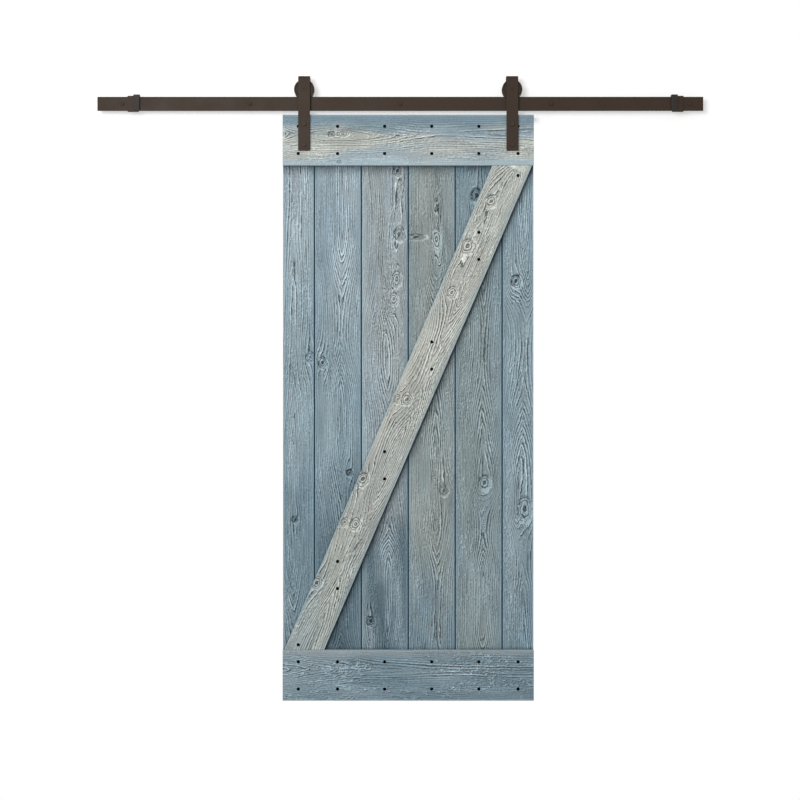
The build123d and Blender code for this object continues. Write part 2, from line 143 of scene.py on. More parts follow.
class BarnDoorHardware(PropertyGroup):
    """Finishes and small sizes of the steel and rubber pieces."""

    bronze: colour_property("Bronze", "Dark bronze powder coat", rgb(58, 46, 37))
    screw_black: colour_property("Screw Black", "Black oxide of the screws", rgb(3, 3, 3))
    zinc: colour_property("Zinc", "Zinc plate of nuts, bearings and bushings", rgb(150, 150, 148))
    rubber: colour_property("Rubber", "Rubber of the stops", rgb(44, 38, 34))
    coat_grain: length_property("Coat Grain", "Size of the powder coat's orange peel", 0.0012)
    thread_pitch: length_property("Thread Pitch", "Distance between threads on the bolts", 0.00125)
    lag_pitch: length_property("Lag Pitch", "Distance between threads on the lag bolts", 0.0032)
    turn_segments: IntProperty(name="Turn Segments", description="Sides of a turned shape", default=36)
    # The strap bolts get a lighter bronze as painted highlight on their heads; their heavier scuffs are wear
    bolt_bronze: colour_property("Bolt Bronze", "Worn bronze of the strap bolts", rgb(68, 56, 48))
    bolt_flats: length_property("Bolt Flats", "Width of a bolt head across its flats", 0.013)
    bolt_head: length_property("Bolt Head", "Height of a bolt head", 0.0053)
    bolt_radius: length_property("Bolt Radius", "Radius of a bolt's shank", 0.004)
    lag_tip: length_property("Lag Tip", "Length of a lag bolt's point", 0.009)
    washer_radius: length_property("Washer Radius", "Radius of a strap bolt's washer", 0.01)
    washer_thickness: length_property("Washer Thickness", "Thickness of that washer", 0.0016)
    screw_head: length_property("Screw Head", "Radius of a board screw's head", 0.006)
    screw_shank: length_property("Screw Shank", "Radius of a board screw's shank", 0.0026)
    star_mouth: length_property("Star Mouth", "Radius of a board screw's star drive", 0.0023)
    axle_head: length_property("Axle Head", "Radius of an axle's sunk head", 0.009)
    axle_head_depth: length_property("Axle Head Depth", "How deep that head is", 0.0036)
    axle_radius: length_property("Axle Radius", "Radius of an axle's smooth shank", 0.005)
    axle_thread: length_property("Axle Thread", "Radius of an axle's threaded end", 0.004)
    strap_thickness: length_property("Strap Thickness", "Thickness of the hanger straps", 0.005)


class BarnDoorStage(PropertyGroup):
    """Camera, lamps, wall and floor."""

    camera_distance: length_property("Camera Distance", "From the leaf's face to the camera", 5.0)
    pixel_size: FloatProperty(
        name="Pixel Size", description="Millimetres of the leaf's face in one pixel", default=3.64
    )
    eye_height: length_property("Eye Height", "Height of the camera against the track", -1.0807)
    key_energy: FloatProperty(name="Key Energy", description="Main lamp", default=181, unit="POWER")
    back_energy: FloatProperty(
        name="Back Energy", description="Lamp behind the door", default=60, unit="POWER"
    )
    sky_light: FloatProperty(name="Sky Light", description="Even light from all round", default=0.42)


def settings():
    return bpy.context.scene.barn_door


class BarnDoorSettings(PropertyGroup):
    """All values of the barn door."""

    stain: PointerProperty(type=BarnDoorStain)
    grain: PointerProperty(type=BarnDoorGrain)
    hardware: PointerProperty(type=BarnDoorHardware)
    stage: PointerProperty(type=BarnDoorStage)


# Wiring of node trees


class Wiring:
    """A node tree with short calls for the nodes that its effects are made of."""

    def __init__(self, tree):
        self.tree = tree

    def put(self, socket, value):
        if isinstance(value, bpy.types.NodeSocket):
            self.tree.links.new(value, socket)
        elif socket.type == "RGBA" and len(value) == 3:
            socket.default_value = (*value, 1)
        else:
            socket.default_value = value

    def add(self, kind, values=(), **attributes):
        """A node with its attributes set and its inputs filled, by name or by number."""
        node = self.tree.nodes.new(kind)
        for name, value in attributes.items():
            setattr(node, name, value)
        for key, value in dict(values).items():
            self.put(node.inputs[key], value)
        return node

    def math(self, operation, *values, clamp=False):
        node = self.add("ShaderNodeMath", dict(enumerate(values)), operation=operation, use_clamp=clamp)
        return node.outputs[0]

    def plus(self, *values, **options):
        return self.math("ADD", *values, **options)

    def minus(self, *values, **options):
        return self.math("SUBTRACT", *values, **options)

    def times(self, *values, **options):
        return self.math("MULTIPLY", *values, **options)

    def over(self, *values, **options):
        return self.math("DIVIDE", *values, **options)

    def vector(self, operation, *values):
        node = self.add("ShaderNodeVectorMath", dict(enumerate(values)), operation=operation)
        scalar = operation in ("DOT_PRODUCT", "LENGTH")
        return node.outputs["Value" if scalar else "Vector"]

    def split(self, vector):
        return self.add("ShaderNodeSeparateXYZ", {0: vector}).outputs

    def join(self, x, y, z):
        return self.add("ShaderNodeCombineXYZ", {0: x, 1: y, 2: z}).outputs[0]

    def span(self, value, low, high, to_low=0.0, to_high=1.0, smooth=True):
        """The value taken from one range to another, held at the ends."""
        values = {"Value": value, "From Min": low, "From Max": high, "To Min": to_low, "To Max": to_high}
        kind = "SMOOTHSTEP" if smooth else "LINEAR"
        return self.add("ShaderNodeMapRange", values, interpolation_type=kind, clamp=True).outputs[0]

    def blend(self, factor, first, second, mode="MIX"):
        values = {0: factor, 6: first, 7: second}
        return self.add("ShaderNodeMix", values, data_type="RGBA", blend_type=mode).outputs[2]

    def choose(self, factor, first, second):
        """The first vector where the factor is 0 and the second where it is 1."""
        values = {0: factor, 4: first, 5: second}
        return self.add("ShaderNodeMix", values, data_type="VECTOR").outputs[1]

    def noise(self, vector, seed=0.0, detail=2.0, roughness=0.5, scale=1.0):
        values = {"Vector": vector, "W": seed, "Scale": scale, "Detail": detail, "Roughness": roughness}
        return self.add("ShaderNodeTexNoise", values, noise_dimensions="4D").outputs["Fac"]

    def stretched(self, vector, along, depth, across):
        return self.vector("MULTIPLY", vector, (along, depth, across))

    def swing(self, value, amount):
        """Noise about its middle, times an amount."""
        return self.times(self.minus(value, 0.5), amount)

    def bell(self, value, narrowness):
        """1 where the value is 0, falling off smoothly on both sides."""
        return self.math("EXPONENT", self.times(self.times(value, value), -narrowness))

    def tinted(self, colour, value, amount):
        """The colour made lighter and darker by noise about its middle."""
        return self.scaled(colour, self.plus(self.swing(value, amount), 1.0))

    def scaled(self, colour, share):
        return self.add("ShaderNodeVectorMath", {0: colour, "Scale": share}, operation="SCALE").outputs[0]


def new_group(name, inputs, outputs):
    """An empty node group with named sockets, its wiring, and its input and output nodes."""
    group = bpy.data.node_groups.new(name, "ShaderNodeTree")
    kinds = {"value": "NodeSocketFloat", "vector": "NodeSocketVector", "colour": "NodeSocketColor"}
    for label, kind, default in inputs:
        socket = group.interface.new_socket(label, in_out="INPUT", socket_type=kinds[kind])
        socket.default_value = (*default, 1) if kind == "colour" else default
    for label, kind in outputs:
        group.interface.new_socket(label, in_out="OUTPUT", socket_type=kinds[kind])
    wiring = Wiring(group)
    given = wiring.add("NodeGroupInput").outputs
    result = wiring.add("NodeGroupOutput").inputs
    return wiring, given, result


def group_named(name, build):
    return bpy.data.node_groups.get(name) or build(name)


def use_group(wiring, name, build, **values):
    """A group placed in a material. Its inputs are given by their names in lower case, with underscores."""
    node = wiring.add("ShaderNodeGroup", node_tree=group_named(name, build))
    for key, value in values.items():
        wiring.put(node.inputs[key.replace("_", " ").capitalize()], value)
    return node.outputs


def build_knot(name):
    """A knot's push on the grain round it, and the place as seen from the knot, in shares of its size."""
    wiring, given, result = new_group(
        name,
        [
            ("Vector", "vector", (0, 0, 0)),
            ("Centre", "vector", (0, 0, 0)),
            ("Radius", "value", 0.012),
            ("Stretch", "value", 1.3),
            ("Push", "value", 0.8),
            ("Dark", "value", 0.4),
        ],
        [("Push", "value"), ("Near", "value"), ("Reach", "value"), ("Place", "vector")],
    )
    offset = wiring.vector("SUBTRACT", given["Vector"], given["Centre"])
    along, _, across = wiring.split(offset)
    along_share = wiring.over(wiring.over(along, given["Stretch"]), given["Radius"])
    across_share = wiring.over(across, given["Radius"])
    wiring.put(result["Reach"], wiring.vector("LENGTH", wiring.join(along_share, 0.0, across_share)))
    wiring.put(result["Place"], wiring.join(along_share, given["Dark"], across_share))
    wide = wiring.vector("LENGTH", wiring.join(wiring.times(along_share, 0.42), 0.0, across_share))
    near = wiring.bell(wide, 0.21)
    wiring.put(result["Near"], near)
    wiring.put(result["Push"], wiring.times(across, wiring.times(near, given["Push"])))
    return wiring.tree


def build_knot_face(name):
    """The face of the nearest knot: rings, a broken rim with painted shade on the side toward the light and
    a painted highlight on the far side, a dark heart and a slit.
    """
    wiring, given, result = new_group(
        name,
        [("Place", "vector", (FAR, 0, FAR)), ("Ragged", "value", 0.5), ("Light", "vector", (-0.7, 0, -0.7))],
        [("Inside", "value"), ("Round", "value"), ("Facing", "value"), ("Dark", "value"), ("Pale", "value")],
    )
    along, strength, across = wiring.split(given["Place"])
    flat = wiring.join(along, 0.0, across)
    ragged = given["Ragged"]
    toward = wiring.vector("DOT_PRODUCT", wiring.vector("NORMALIZE", flat), given["Light"])
    reach = wiring.vector("LENGTH", flat)
    reach = wiring.times(reach, wiring.plus(wiring.swing(ragged, 1.1), 1.0))
    inside = wiring.span(reach, 1.1, 0.9)
    wiring.put(result["Inside"], inside)
    wiring.put(result["Round"], wiring.times(wiring.times(reach, inside), 0.015))
    wiring.put(result["Facing"], wiring.times(toward, inside))
    rim = wiring.times(wiring.span(reach, 0.68, 1.0), wiring.span(reach, 1.35, 1.05))
    # Painted shade: the rim is dark on the side toward the light, as the near wall of a hollow would be
    shaded_crescent = wiring.times(rim, wiring.span(toward, -0.35, 0.6, 0.2, 1.0))
    heart = wiring.times(wiring.span(reach, 0.6, 0.15), wiring.span(ragged, 0.62, 0.4, 0.3, 1.0))
    slit = wiring.math("ABSOLUTE", wiring.vector("DOT_PRODUCT", flat, (0.55, 0.0, 0.83)))
    slit = wiring.times(wiring.span(slit, 0.14, 0.05), inside)
    dark = wiring.times(shaded_crescent, wiring.span(ragged, 0.36, 0.52))
    for part, share in ((heart, 0.9), (slit, 0.5), (inside, 0.22)):
        dark = wiring.plus(dark, wiring.times(part, share))
    wiring.put(result["Dark"], wiring.times(dark, strength))
    # Painted highlight: a pale arc on the far side of the rim, away from the light
    lit_far_rim = wiring.times(wiring.span(reach, 0.85, 1.1), wiring.span(reach, 1.5, 1.2))
    pale = wiring.times(lit_far_rim, wiring.span(toward, 0.3, -0.6))
    wiring.put(result["Pale"], wiring.times(pale, wiring.span(ragged, 0.3, 0.5)))
    return wiring.tree


def build_field(name):
    """Distance from the pith under the board's face, whose even steps are the growth rings."""
    wiring, given, result = new_group(
        name,
        [
            ("Vector", "vector", (0, 0, 0)),
            ("Push", "value", 0.0),
            ("Pith across", "value", 0.0),
            ("Depth", "value", 0.03),
            ("Seed", "value", 0.0),
        ],
        [("Distance", "value"), ("Aside", "value")],
    )
    along, depth, across = wiring.split(given["Vector"])
    course = wiring.join(along, 0.0, 0.0)
    bend = wiring.noise(course, wiring.plus(given["Seed"], 17.0), detail=1.0, scale=1.7)
    pith_side = wiring.plus(given["Pith across"], wiring.swing(bend, 0.035))
    sideways = wiring.minus(wiring.minus(across, given["Push"]), pith_side)
    inward = wiring.minus(depth, given["Depth"])
    shape = 1.35
    aside_power = wiring.math("POWER", wiring.math("ABSOLUTE", sideways), shape)
    inward_power = wiring.math("POWER", wiring.math("ABSOLUTE", inward), shape)
    distance = wiring.math("POWER", wiring.plus(aside_power, inward_power), 1 / shape)
    slow = wiring.noise(wiring.stretched(given["Vector"], 4, 12, 12), given["Seed"], detail=1.0)
    place = wiring.stretched(given["Vector"], 18, 75, 75)
    quick = wiring.noise(place, given["Seed"], detail=2.0, roughness=0.6)
    wobble = wiring.plus(wiring.swing(slow, 0.013), wiring.swing(quick, 0.006))
    wiring.put(result["Distance"], wiring.plus(distance, wobble))
    wiring.put(result["Aside"], sideways)
    return wiring.tree


def build_rings(name):
    """Brushed growth rings as thin raised lines, pale on top and dark on the side away from the light."""
    wiring, given, result = new_group(
        name,
        [
            ("Vector", "vector", (0, 0, 0)),
            ("Light", "vector", (-0.7, 0, -0.7)),
            ("Push", "value", 0.0),
            ("Inside", "value", 0.0),
            ("Round", "value", 0.0),
            ("Near", "value", 0.0),
            ("Facing", "value", 0.0),
            ("Pith across", "value", 0.0),
            ("Depth", "value", 0.03),
            ("Depth ahead", "value", 0.03),
            ("Spacing", "value", 0.006),
            ("Line width", "value", 0.0018),
            ("Seed", "value", 0.0),
        ],
        [("Ridge", "value"), ("Groove", "value")],
    )
    vector, seed = given["Vector"], given["Seed"]

    def field_at(shift, depth):
        moved = wiring.vector("ADD", vector, shift)
        return use_group(
            wiring,
            "Ring field",
            build_field,
            vector=moved,
            push=given["Push"],
            pith_across=given["Pith across"],
            depth=depth,
            seed=seed,
        )

    here = field_at((0, 0, 0), given["Depth"])
    ahead = field_at((SLOPE_STEP, 0, 0), given["Depth ahead"])
    aside = field_at((0, 0, SLOPE_STEP), given["Depth"])
    slope_along = wiring.over(wiring.minus(ahead["Distance"], here["Distance"]), SLOPE_STEP)
    slope_across = wiring.over(wiring.minus(aside["Distance"], here["Distance"]), SLOPE_STEP)
    squeeze = wiring.span(given["Near"], 0.0, 1.0, 1.0, 0.22, smooth=False)
    slopes = wiring.join(slope_along, 0.0, wiring.times(slope_across, squeeze))
    outside = wiring.minus(1.0, given["Inside"])
    steepness = wiring.math("MAXIMUM", wiring.vector("LENGTH", slopes), 0.06)
    steepness = wiring.plus(wiring.times(steepness, outside), given["Inside"])
    facing = wiring.times(wiring.vector("DOT_PRODUCT", slopes, given["Light"]), outside)
    facing = wiring.math("SIGN", wiring.plus(facing, given["Facing"]))
    distance = wiring.plus(wiring.times(here["Distance"], outside), given["Round"])
    turns = wiring.over(distance, given["Spacing"])
    nearest = wiring.math("ROUND", turns)
    offset = wiring.times(wiring.minus(turns, nearest), given["Spacing"])
    offset = wiring.times(wiring.over(offset, steepness), facing)

    def line(at):
        """A line whose middle lies beside that of its ring."""
        away = wiring.math("ABSOLUTE", wiring.plus(offset, at))
        return wiring.span(away, wiring.times(given["Line width"], 1.3), given["Line width"], smooth=False)

    number = {"W": wiring.plus(nearest, seed)}
    chance = wiring.add("ShaderNodeTexWhiteNoise", number, noise_dimensions="1D").outputs["Value"]
    chance = wiring.span(chance, 0.1, 0.9, 0.2, 1.0, smooth=False)
    fading = wiring.noise(wiring.stretched(vector, 6, 24, 24), wiring.plus(seed, 5.0), detail=2.5)
    clusters = wiring.times(wiring.span(fading, 0.38, 0.52, 0.3, 1.0), chance)
    centre = wiring.bell(wiring.over(here["Aside"], 0.032), 1.0)
    clusters = wiring.times(clusters, wiring.plus(wiring.times(centre, 0.55), 0.45))
    near = wiring.span(given["Near"], 0.25, 0.8, 0.0, 0.9)
    figure = wiring.math("MAXIMUM", clusters, wiring.times(near, wiring.span(fading, 0.36, 0.52)))
    wiring.put(result["Ridge"], wiring.times(line(0.0), figure))
    # Painted shade: a dark line beside each raised line, on the side away from the light
    groove = line(wiring.times(given["Line width"], 1.9))
    wiring.put(result["Groove"], wiring.times(groove, wiring.times(figure, 1.5, clamp=True)))
    return wiring.tree


def build_stain(name):
    """Weathered stain over grain: tints down the board, clouds, fibres, raised flecks with painted shadows,
    painted shade beside the grain lines, and dark knots with painted shade and highlight on their rims.
    """
    wiring, given, result = new_group(
        name,
        [
            ("Vector", "vector", (0, 0, 0)),
            ("Light", "vector", (-0.7, 0, -0.7)),
            ("Ridge", "value", 0.0),
            ("Groove", "value", 0.0),
            ("Dark", "value", 0.0),
            ("Pale", "value", 0.0),
            ("Head", "colour", (0.4, 0.4, 0.4)),
            ("Middle", "colour", (0.4, 0.4, 0.4)),
            ("Foot", "colour", (0.2, 0.2, 0.2)),
            ("Patch", "colour", (0.4, 0.4, 0.3)),
            ("Wash", "colour", (0.2, 0.3, 0.4)),
            ("Patch amount", "value", 0.5),
            ("Wash amount", "value", 0.3),
            ("First change", "value", 0.5),
            ("Second change", "value", 1.5),
            ("Ink", "colour", (0.02, 0.03, 0.04)),
            ("Ridge light", "value", 0.4),
            ("Groove dark", "value", 0.3),
            ("Flecks", "value", 0.5),
            ("Seed", "value", 0.0),
        ],
        [("Colour", "colour"), ("Height", "value"), ("Roughness", "value")],
    )
    vector, seed = given["Vector"], given["Seed"]
    along = wiring.split(vector)[0]
    drift = wiring.noise(wiring.stretched(vector, 2.5, 8, 8), seed, detail=2.0)
    place = wiring.plus(along, wiring.swing(drift, 0.8))

    def change(at):
        return wiring.span(place, wiring.minus(at, 0.3), wiring.plus(at, 0.3))

    def cloud(along_scale, across_scale, shift, low, high):
        """Soft patches, longer along the grain than across it."""
        patches = wiring.stretched(vector, along_scale, across_scale, across_scale)
        return wiring.span(wiring.noise(patches, wiring.plus(seed, shift), detail=3.0), low, high)

    colour = wiring.blend(change(given["First change"]), given["Head"], given["Middle"])
    colour = wiring.blend(change(given["Second change"]), colour, given["Foot"])
    patch = wiring.times(cloud(2.2, 12, 9.0, 0.44, 0.62), given["Patch amount"])
    colour = wiring.blend(patch, colour, given["Patch"])
    wash = wiring.times(cloud(1.6, 9, 13.0, 0.46, 0.66), given["Wash amount"])
    colour = wiring.blend(wash, colour, given["Wash"])
    blotch = wiring.noise(wiring.stretched(vector, 6, 22, 22), wiring.plus(seed, 21.0), detail=3.0)
    fibre = wiring.noise(
        wiring.stretched(vector, 11, 240, 240), wiring.plus(seed, 2.0), detail=2.5, roughness=0.6
    )
    speckle = wiring.noise(wiring.stretched(vector, 110, 170, 170), wiring.plus(seed, 4.0), detail=1.0)
    coarse = cloud(5, 18, 31.0, 0.4, 0.6)
    colour = wiring.tinted(colour, blotch, 0.75)
    colour = wiring.tinted(colour, fibre, wiring.plus(wiring.times(coarse, 0.8), 0.75))
    colour = wiring.tinted(colour, speckle, wiring.plus(wiring.times(coarse, 0.9), 0.5))
    pale = wiring.scaled(colour, 2.0)
    deep = wiring.scaled(colour, 0.16)

    def squiggles(shift):
        """Outlines of worn patches, small and large, drawn as thin lines."""
        moved = wiring.vector("ADD", vector, shift)
        small = wiring.noise(wiring.stretched(moved, 48, 120, 120), wiring.plus(seed, 40.0), detail=1.0)
        large = wiring.noise(wiring.stretched(moved, 13, 55, 55), wiring.plus(seed, 44.0), detail=2.0)
        small_line = wiring.span(wiring.math("ABSOLUTE", wiring.minus(small, 0.53)), 0.05, 0.02)
        large_line = wiring.span(wiring.math("ABSOLUTE", wiring.minus(large, 0.55)), 0.024, 0.01)
        small_line = wiring.times(small_line, cloud(3.5, 15, 50.0, 0.48, 0.6))
        large_line = wiring.times(large_line, cloud(2.5, 11, 60.0, 0.46, 0.58))
        return wiring.math("MAXIMUM", small_line, large_line)

    worn = given["Flecks"]
    # Painted shadow: the flecks drawn again, moved toward the light, darken the wood on the side of each
    # fleck away from the light
    shadow = wiring.vector("MULTIPLY", given["Light"], (0.0036, 0.0036, 0.0036))
    raised = squiggles((0, 0, 0))
    colour = wiring.blend(wiring.times(squiggles(shadow), worn), colour, deep)
    colour = wiring.blend(wiring.times(raised, worn), colour, pale)
    # Painted shade beside the raised grain lines
    colour = wiring.blend(wiring.times(given["Groove"], given["Groove dark"]), colour, deep)
    colour = wiring.blend(wiring.times(given["Ridge"], given["Ridge light"]), colour, pale)
    # Knot marks: their own dark heart and slit, with painted shade and a painted highlight on the rim
    colour = wiring.blend(wiring.math("MINIMUM", given["Dark"], 0.92), colour, given["Ink"])
    colour = wiring.blend(wiring.math("MINIMUM", given["Pale"], 0.7), colour, pale)
    wiring.put(result["Colour"], colour)
    ridge = wiring.plus(given["Ridge"], wiring.times(raised, worn))
    ridge = wiring.minus(ridge, wiring.times(given["Groove"], 0.5))
    fine = wiring.plus(wiring.swing(fibre, 0.6), wiring.swing(speckle, 0.5))
    height = wiring.plus(wiring.times(ridge, 0.6), fine)
    wiring.put(result["Height"], wiring.minus(height, wiring.times(given["Dark"], 0.4)))
    wiring.put(result["Roughness"], wiring.span(fibre, 0.3, 0.7, 0.62, 0.82, smooth=False))
    return wiring.tree


def build_painted_shade(name):
    """Painted shade beside a piece planted on the board, darkest in the corner."""
    wiring, given, result = new_group(
        name,
        [
            ("Vector", "vector", (0, 0, 0)),
            ("Point", "vector", (0, 0, 0)),
            ("Away", "vector", (0, 0, -1)),
            ("Half length", "value", FAR),
            ("Reach", "value", 0.03),
            ("Amount", "value", 0.9),
        ],
        [("Mask", "value")],
    )
    offset = wiring.vector("SUBTRACT", given["Vector"], given["Point"])
    offset = wiring.vector("MULTIPLY", offset, (1, 0, 1))
    distance = wiring.vector("DOT_PRODUCT", offset, given["Away"])
    sideways = wiring.vector("SUBTRACT", offset, wiring.scaled(given["Away"], distance))
    sideways = wiring.vector("LENGTH", sideways)
    # Noise that makes the edge of the painted shade ragged
    shade_noise = wiring.noise(wiring.stretched(given["Vector"], 45, 45, 45), 1.0, detail=2.0)
    spread = wiring.times(given["Reach"], 0.5)
    distance = wiring.plus(distance, wiring.swing(shade_noise, spread))
    share = wiring.minus(1.0, wiring.over(distance, given["Reach"]), clamp=True)
    covered = wiring.math("GREATER_THAN", distance, wiring.times(spread, -1.0))
    covered = wiring.times(covered, wiring.math("LESS_THAN", sideways, given["Half length"]))
    mask = wiring.times(wiring.math("POWER", share, 1.5), given["Amount"])
    wiring.put(result["Mask"], wiring.times(mask, covered))
    return wiring.tree


def build_edges(name):
    """Masks of a board's two long edges: the dark joint, the worn wood beside it, and a tint for each."""
    wiring, given, result = new_group(
        name,
        [
            ("Vector", "vector", (0, 0, 0)),
            ("Half width", "value", 0.08),
            ("Joint low", "value", 1.0),
            ("Joint high", "value", 1.0),
            ("Joint width", "value", 0.002),
            ("Low reach", "value", 0.02),
            ("High reach", "value", 0.02),
            ("Seed", "value", 0.0),
        ],
        [("Joint", "value"), ("Wear", "value"), ("Low", "value"), ("High", "value")],
    )
    across = wiring.split(given["Vector"])[2]
    cloud = wiring.noise(wiring.stretched(given["Vector"], 7, 30, 30), given["Seed"], detail=3.0)
    masks = {}
    for side, label in ((-1, "Low"), (1, "High")):
        reach = given[f"{label} reach"]
        inner = wiring.minus(given["Half width"], wiring.times(across, side))
        dark = wiring.span(inner, wiring.times(given["Joint width"], 1.25), given["Joint width"])
        worn = wiring.span(inner, wiring.times(given["Joint width"], 3.2), given["Joint width"])
        masks[side] = (wiring.times(dark, given[f"Joint {label.lower()}"]), worn)
        ragged = wiring.plus(inner, wiring.times(wiring.swing(cloud, 1.2), reach))
        wiring.put(result[label], wiring.span(ragged, reach, wiring.times(reach, 0.25)))
    wiring.put(result["Joint"], wiring.math("MAXIMUM", masks[-1][0], masks[1][0]))
    wiring.put(result["Wear"], wiring.math("MAXIMUM", masks[-1][1], masks[1][1]))
    return wiring.tree


def build_coat(name):
    """Powder coat: a fine orange peel, a slow change of shade and light scuffs."""
    wiring, given, result = new_group(
        name,
        [
            ("Vector", "vector", (0, 0, 0)),
            ("Paint", "colour", (0.04, 0.035, 0.03)),
            ("Grain", "value", 0.0012),
            ("Scuffs", "value", 0.3),
            ("Seed", "value", 0.0),
        ],
        [("Colour", "colour"), ("Height", "value"), ("Roughness", "value")],
    )
    fineness = wiring.over(1.0, given["Grain"])
    peel = wiring.noise(given["Vector"], given["Seed"], detail=2.0, scale=fineness)
    slow = wiring.noise(given["Vector"], wiring.plus(given["Seed"], 3.0), detail=3.0, scale=14.0)
    place = wiring.stretched(given["Vector"], 60, 60, 25)
    scuff = wiring.noise(place, given["Seed"], detail=4.0, roughness=0.7)
    colour = wiring.tinted(given["Paint"], slow, 0.5)
    colour = wiring.tinted(colour, peel, 0.5)
    marks = wiring.times(wiring.span(scuff, 0.62, 0.8), given["Scuffs"])
    wiring.put(result["Colour"], wiring.blend(marks, colour, wiring.scaled(colour, 2.2)))
    wiring.put(result["Height"], wiring.plus(wiring.swing(peel, 1.0), wiring.swing(slow, 0.3)))
    wiring.put(result["Roughness"], wiring.span(slow, 0.3, 0.7, 0.42, 0.6, smooth=False))
    return wiring.tree


def new_material(name):
    """A material with one Principled shader, and its wiring."""
    material = bpy.data.materials.new(name)
    material.use_nodes = True
    material.node_tree.nodes.clear()
    wiring = Wiring(material.node_tree)
    shader = wiring.add("ShaderNodeBsdfPrincipled")
    output = wiring.add("ShaderNodeOutputMaterial")
    wiring.put(output.inputs["Surface"], shader.outputs["BSDF"])
    return material, wiring, shader


def object_vector(wiring):
    return wiring.add("ShaderNodeTexCoord").outputs["Object"]


def finish_surface(wiring, shader, outputs, relief):
    """Feeds a group's colour, height and roughness into the shader."""
    wiring.put(shader.inputs["Base Color"], outputs["Colour"])
    wiring.put(shader.inputs["Roughness"], outputs["Roughness"])
    bump = wiring.add("ShaderNodeBump", {"Height": outputs["Height"]})
    bump.inputs["Distance"].default_value = relief
    wiring.put(shader.inputs["Normal"], bump.outputs["Normal"])


def coat(name, paint, metallic=0.0, scuffs=0.3, relief=0.0002, seed=0.0, specular=0.15):
    """A painted, plated or moulded finish that hides the metal's own look."""
    material, wiring, shader = new_material(name)
    grain = settings().hardware.coat_grain
    outputs = use_group(
        wiring,
        "Powder coat",
        build_coat,
        vector=object_vector(wiring),
        paint=tuple(paint),
        grain=grain,
        scuffs=scuffs,
        seed=seed,
    )
    finish_surface(wiring, shader, outputs, relief)
    shader.inputs["Metallic"].default_value = metallic
    shader.inputs["Specular IOR Level"].default_value = specular
    return material


def dress(node, material):
    """Gives a CAD node or a new piece its one material."""
    thing = NODES[node] if isinstance(node, str) else node
    thing.data.materials.clear()
    thing.data.materials.append(material)


# Boards


@dataclass
class Knot:
    """A knot or eye, from the head of its board along the grain, and from the board's middle across it."""

    along: float
    across: float
    radius: float = 0.014
    stretch: float = 1.25
    dark: float = 0.6
    push: float = 0.85


@dataclass
class Tint:
    """A colour laid along one long edge of a board, how far it reaches and how strong it is: a wash on most
    boards, painted highlight and painted shade on the brace.
    """

    colour: str
    reach: float
    amount: float


@dataclass
class Board:
    """One board: its node, its stain down the grain, where its pith runs under the face, and its knots.

    The pith is given as points of place along the board and depth under its face. The grain's arches point
    the way that the pith sinks.
    """

    node: str
    head: str
    middle: str
    foot: str
    patch: str
    pith: list
    patch_amount: float = 0.5
    wash_amount: float = 0.22
    changes: tuple = (0.5, 1.5)
    pith_across: float = 0.0
    flecks: float = 0.65
    knots: list = field(default_factory=list)
    low_tint: Tint = field(default_factory=lambda: Tint("blue", 0.022, 0.38))
    high_tint: Tint = field(default_factory=lambda: Tint("blue", 0.022, 0.38))
    joint_low: float = 1.0
    joint_high: float = 1.0


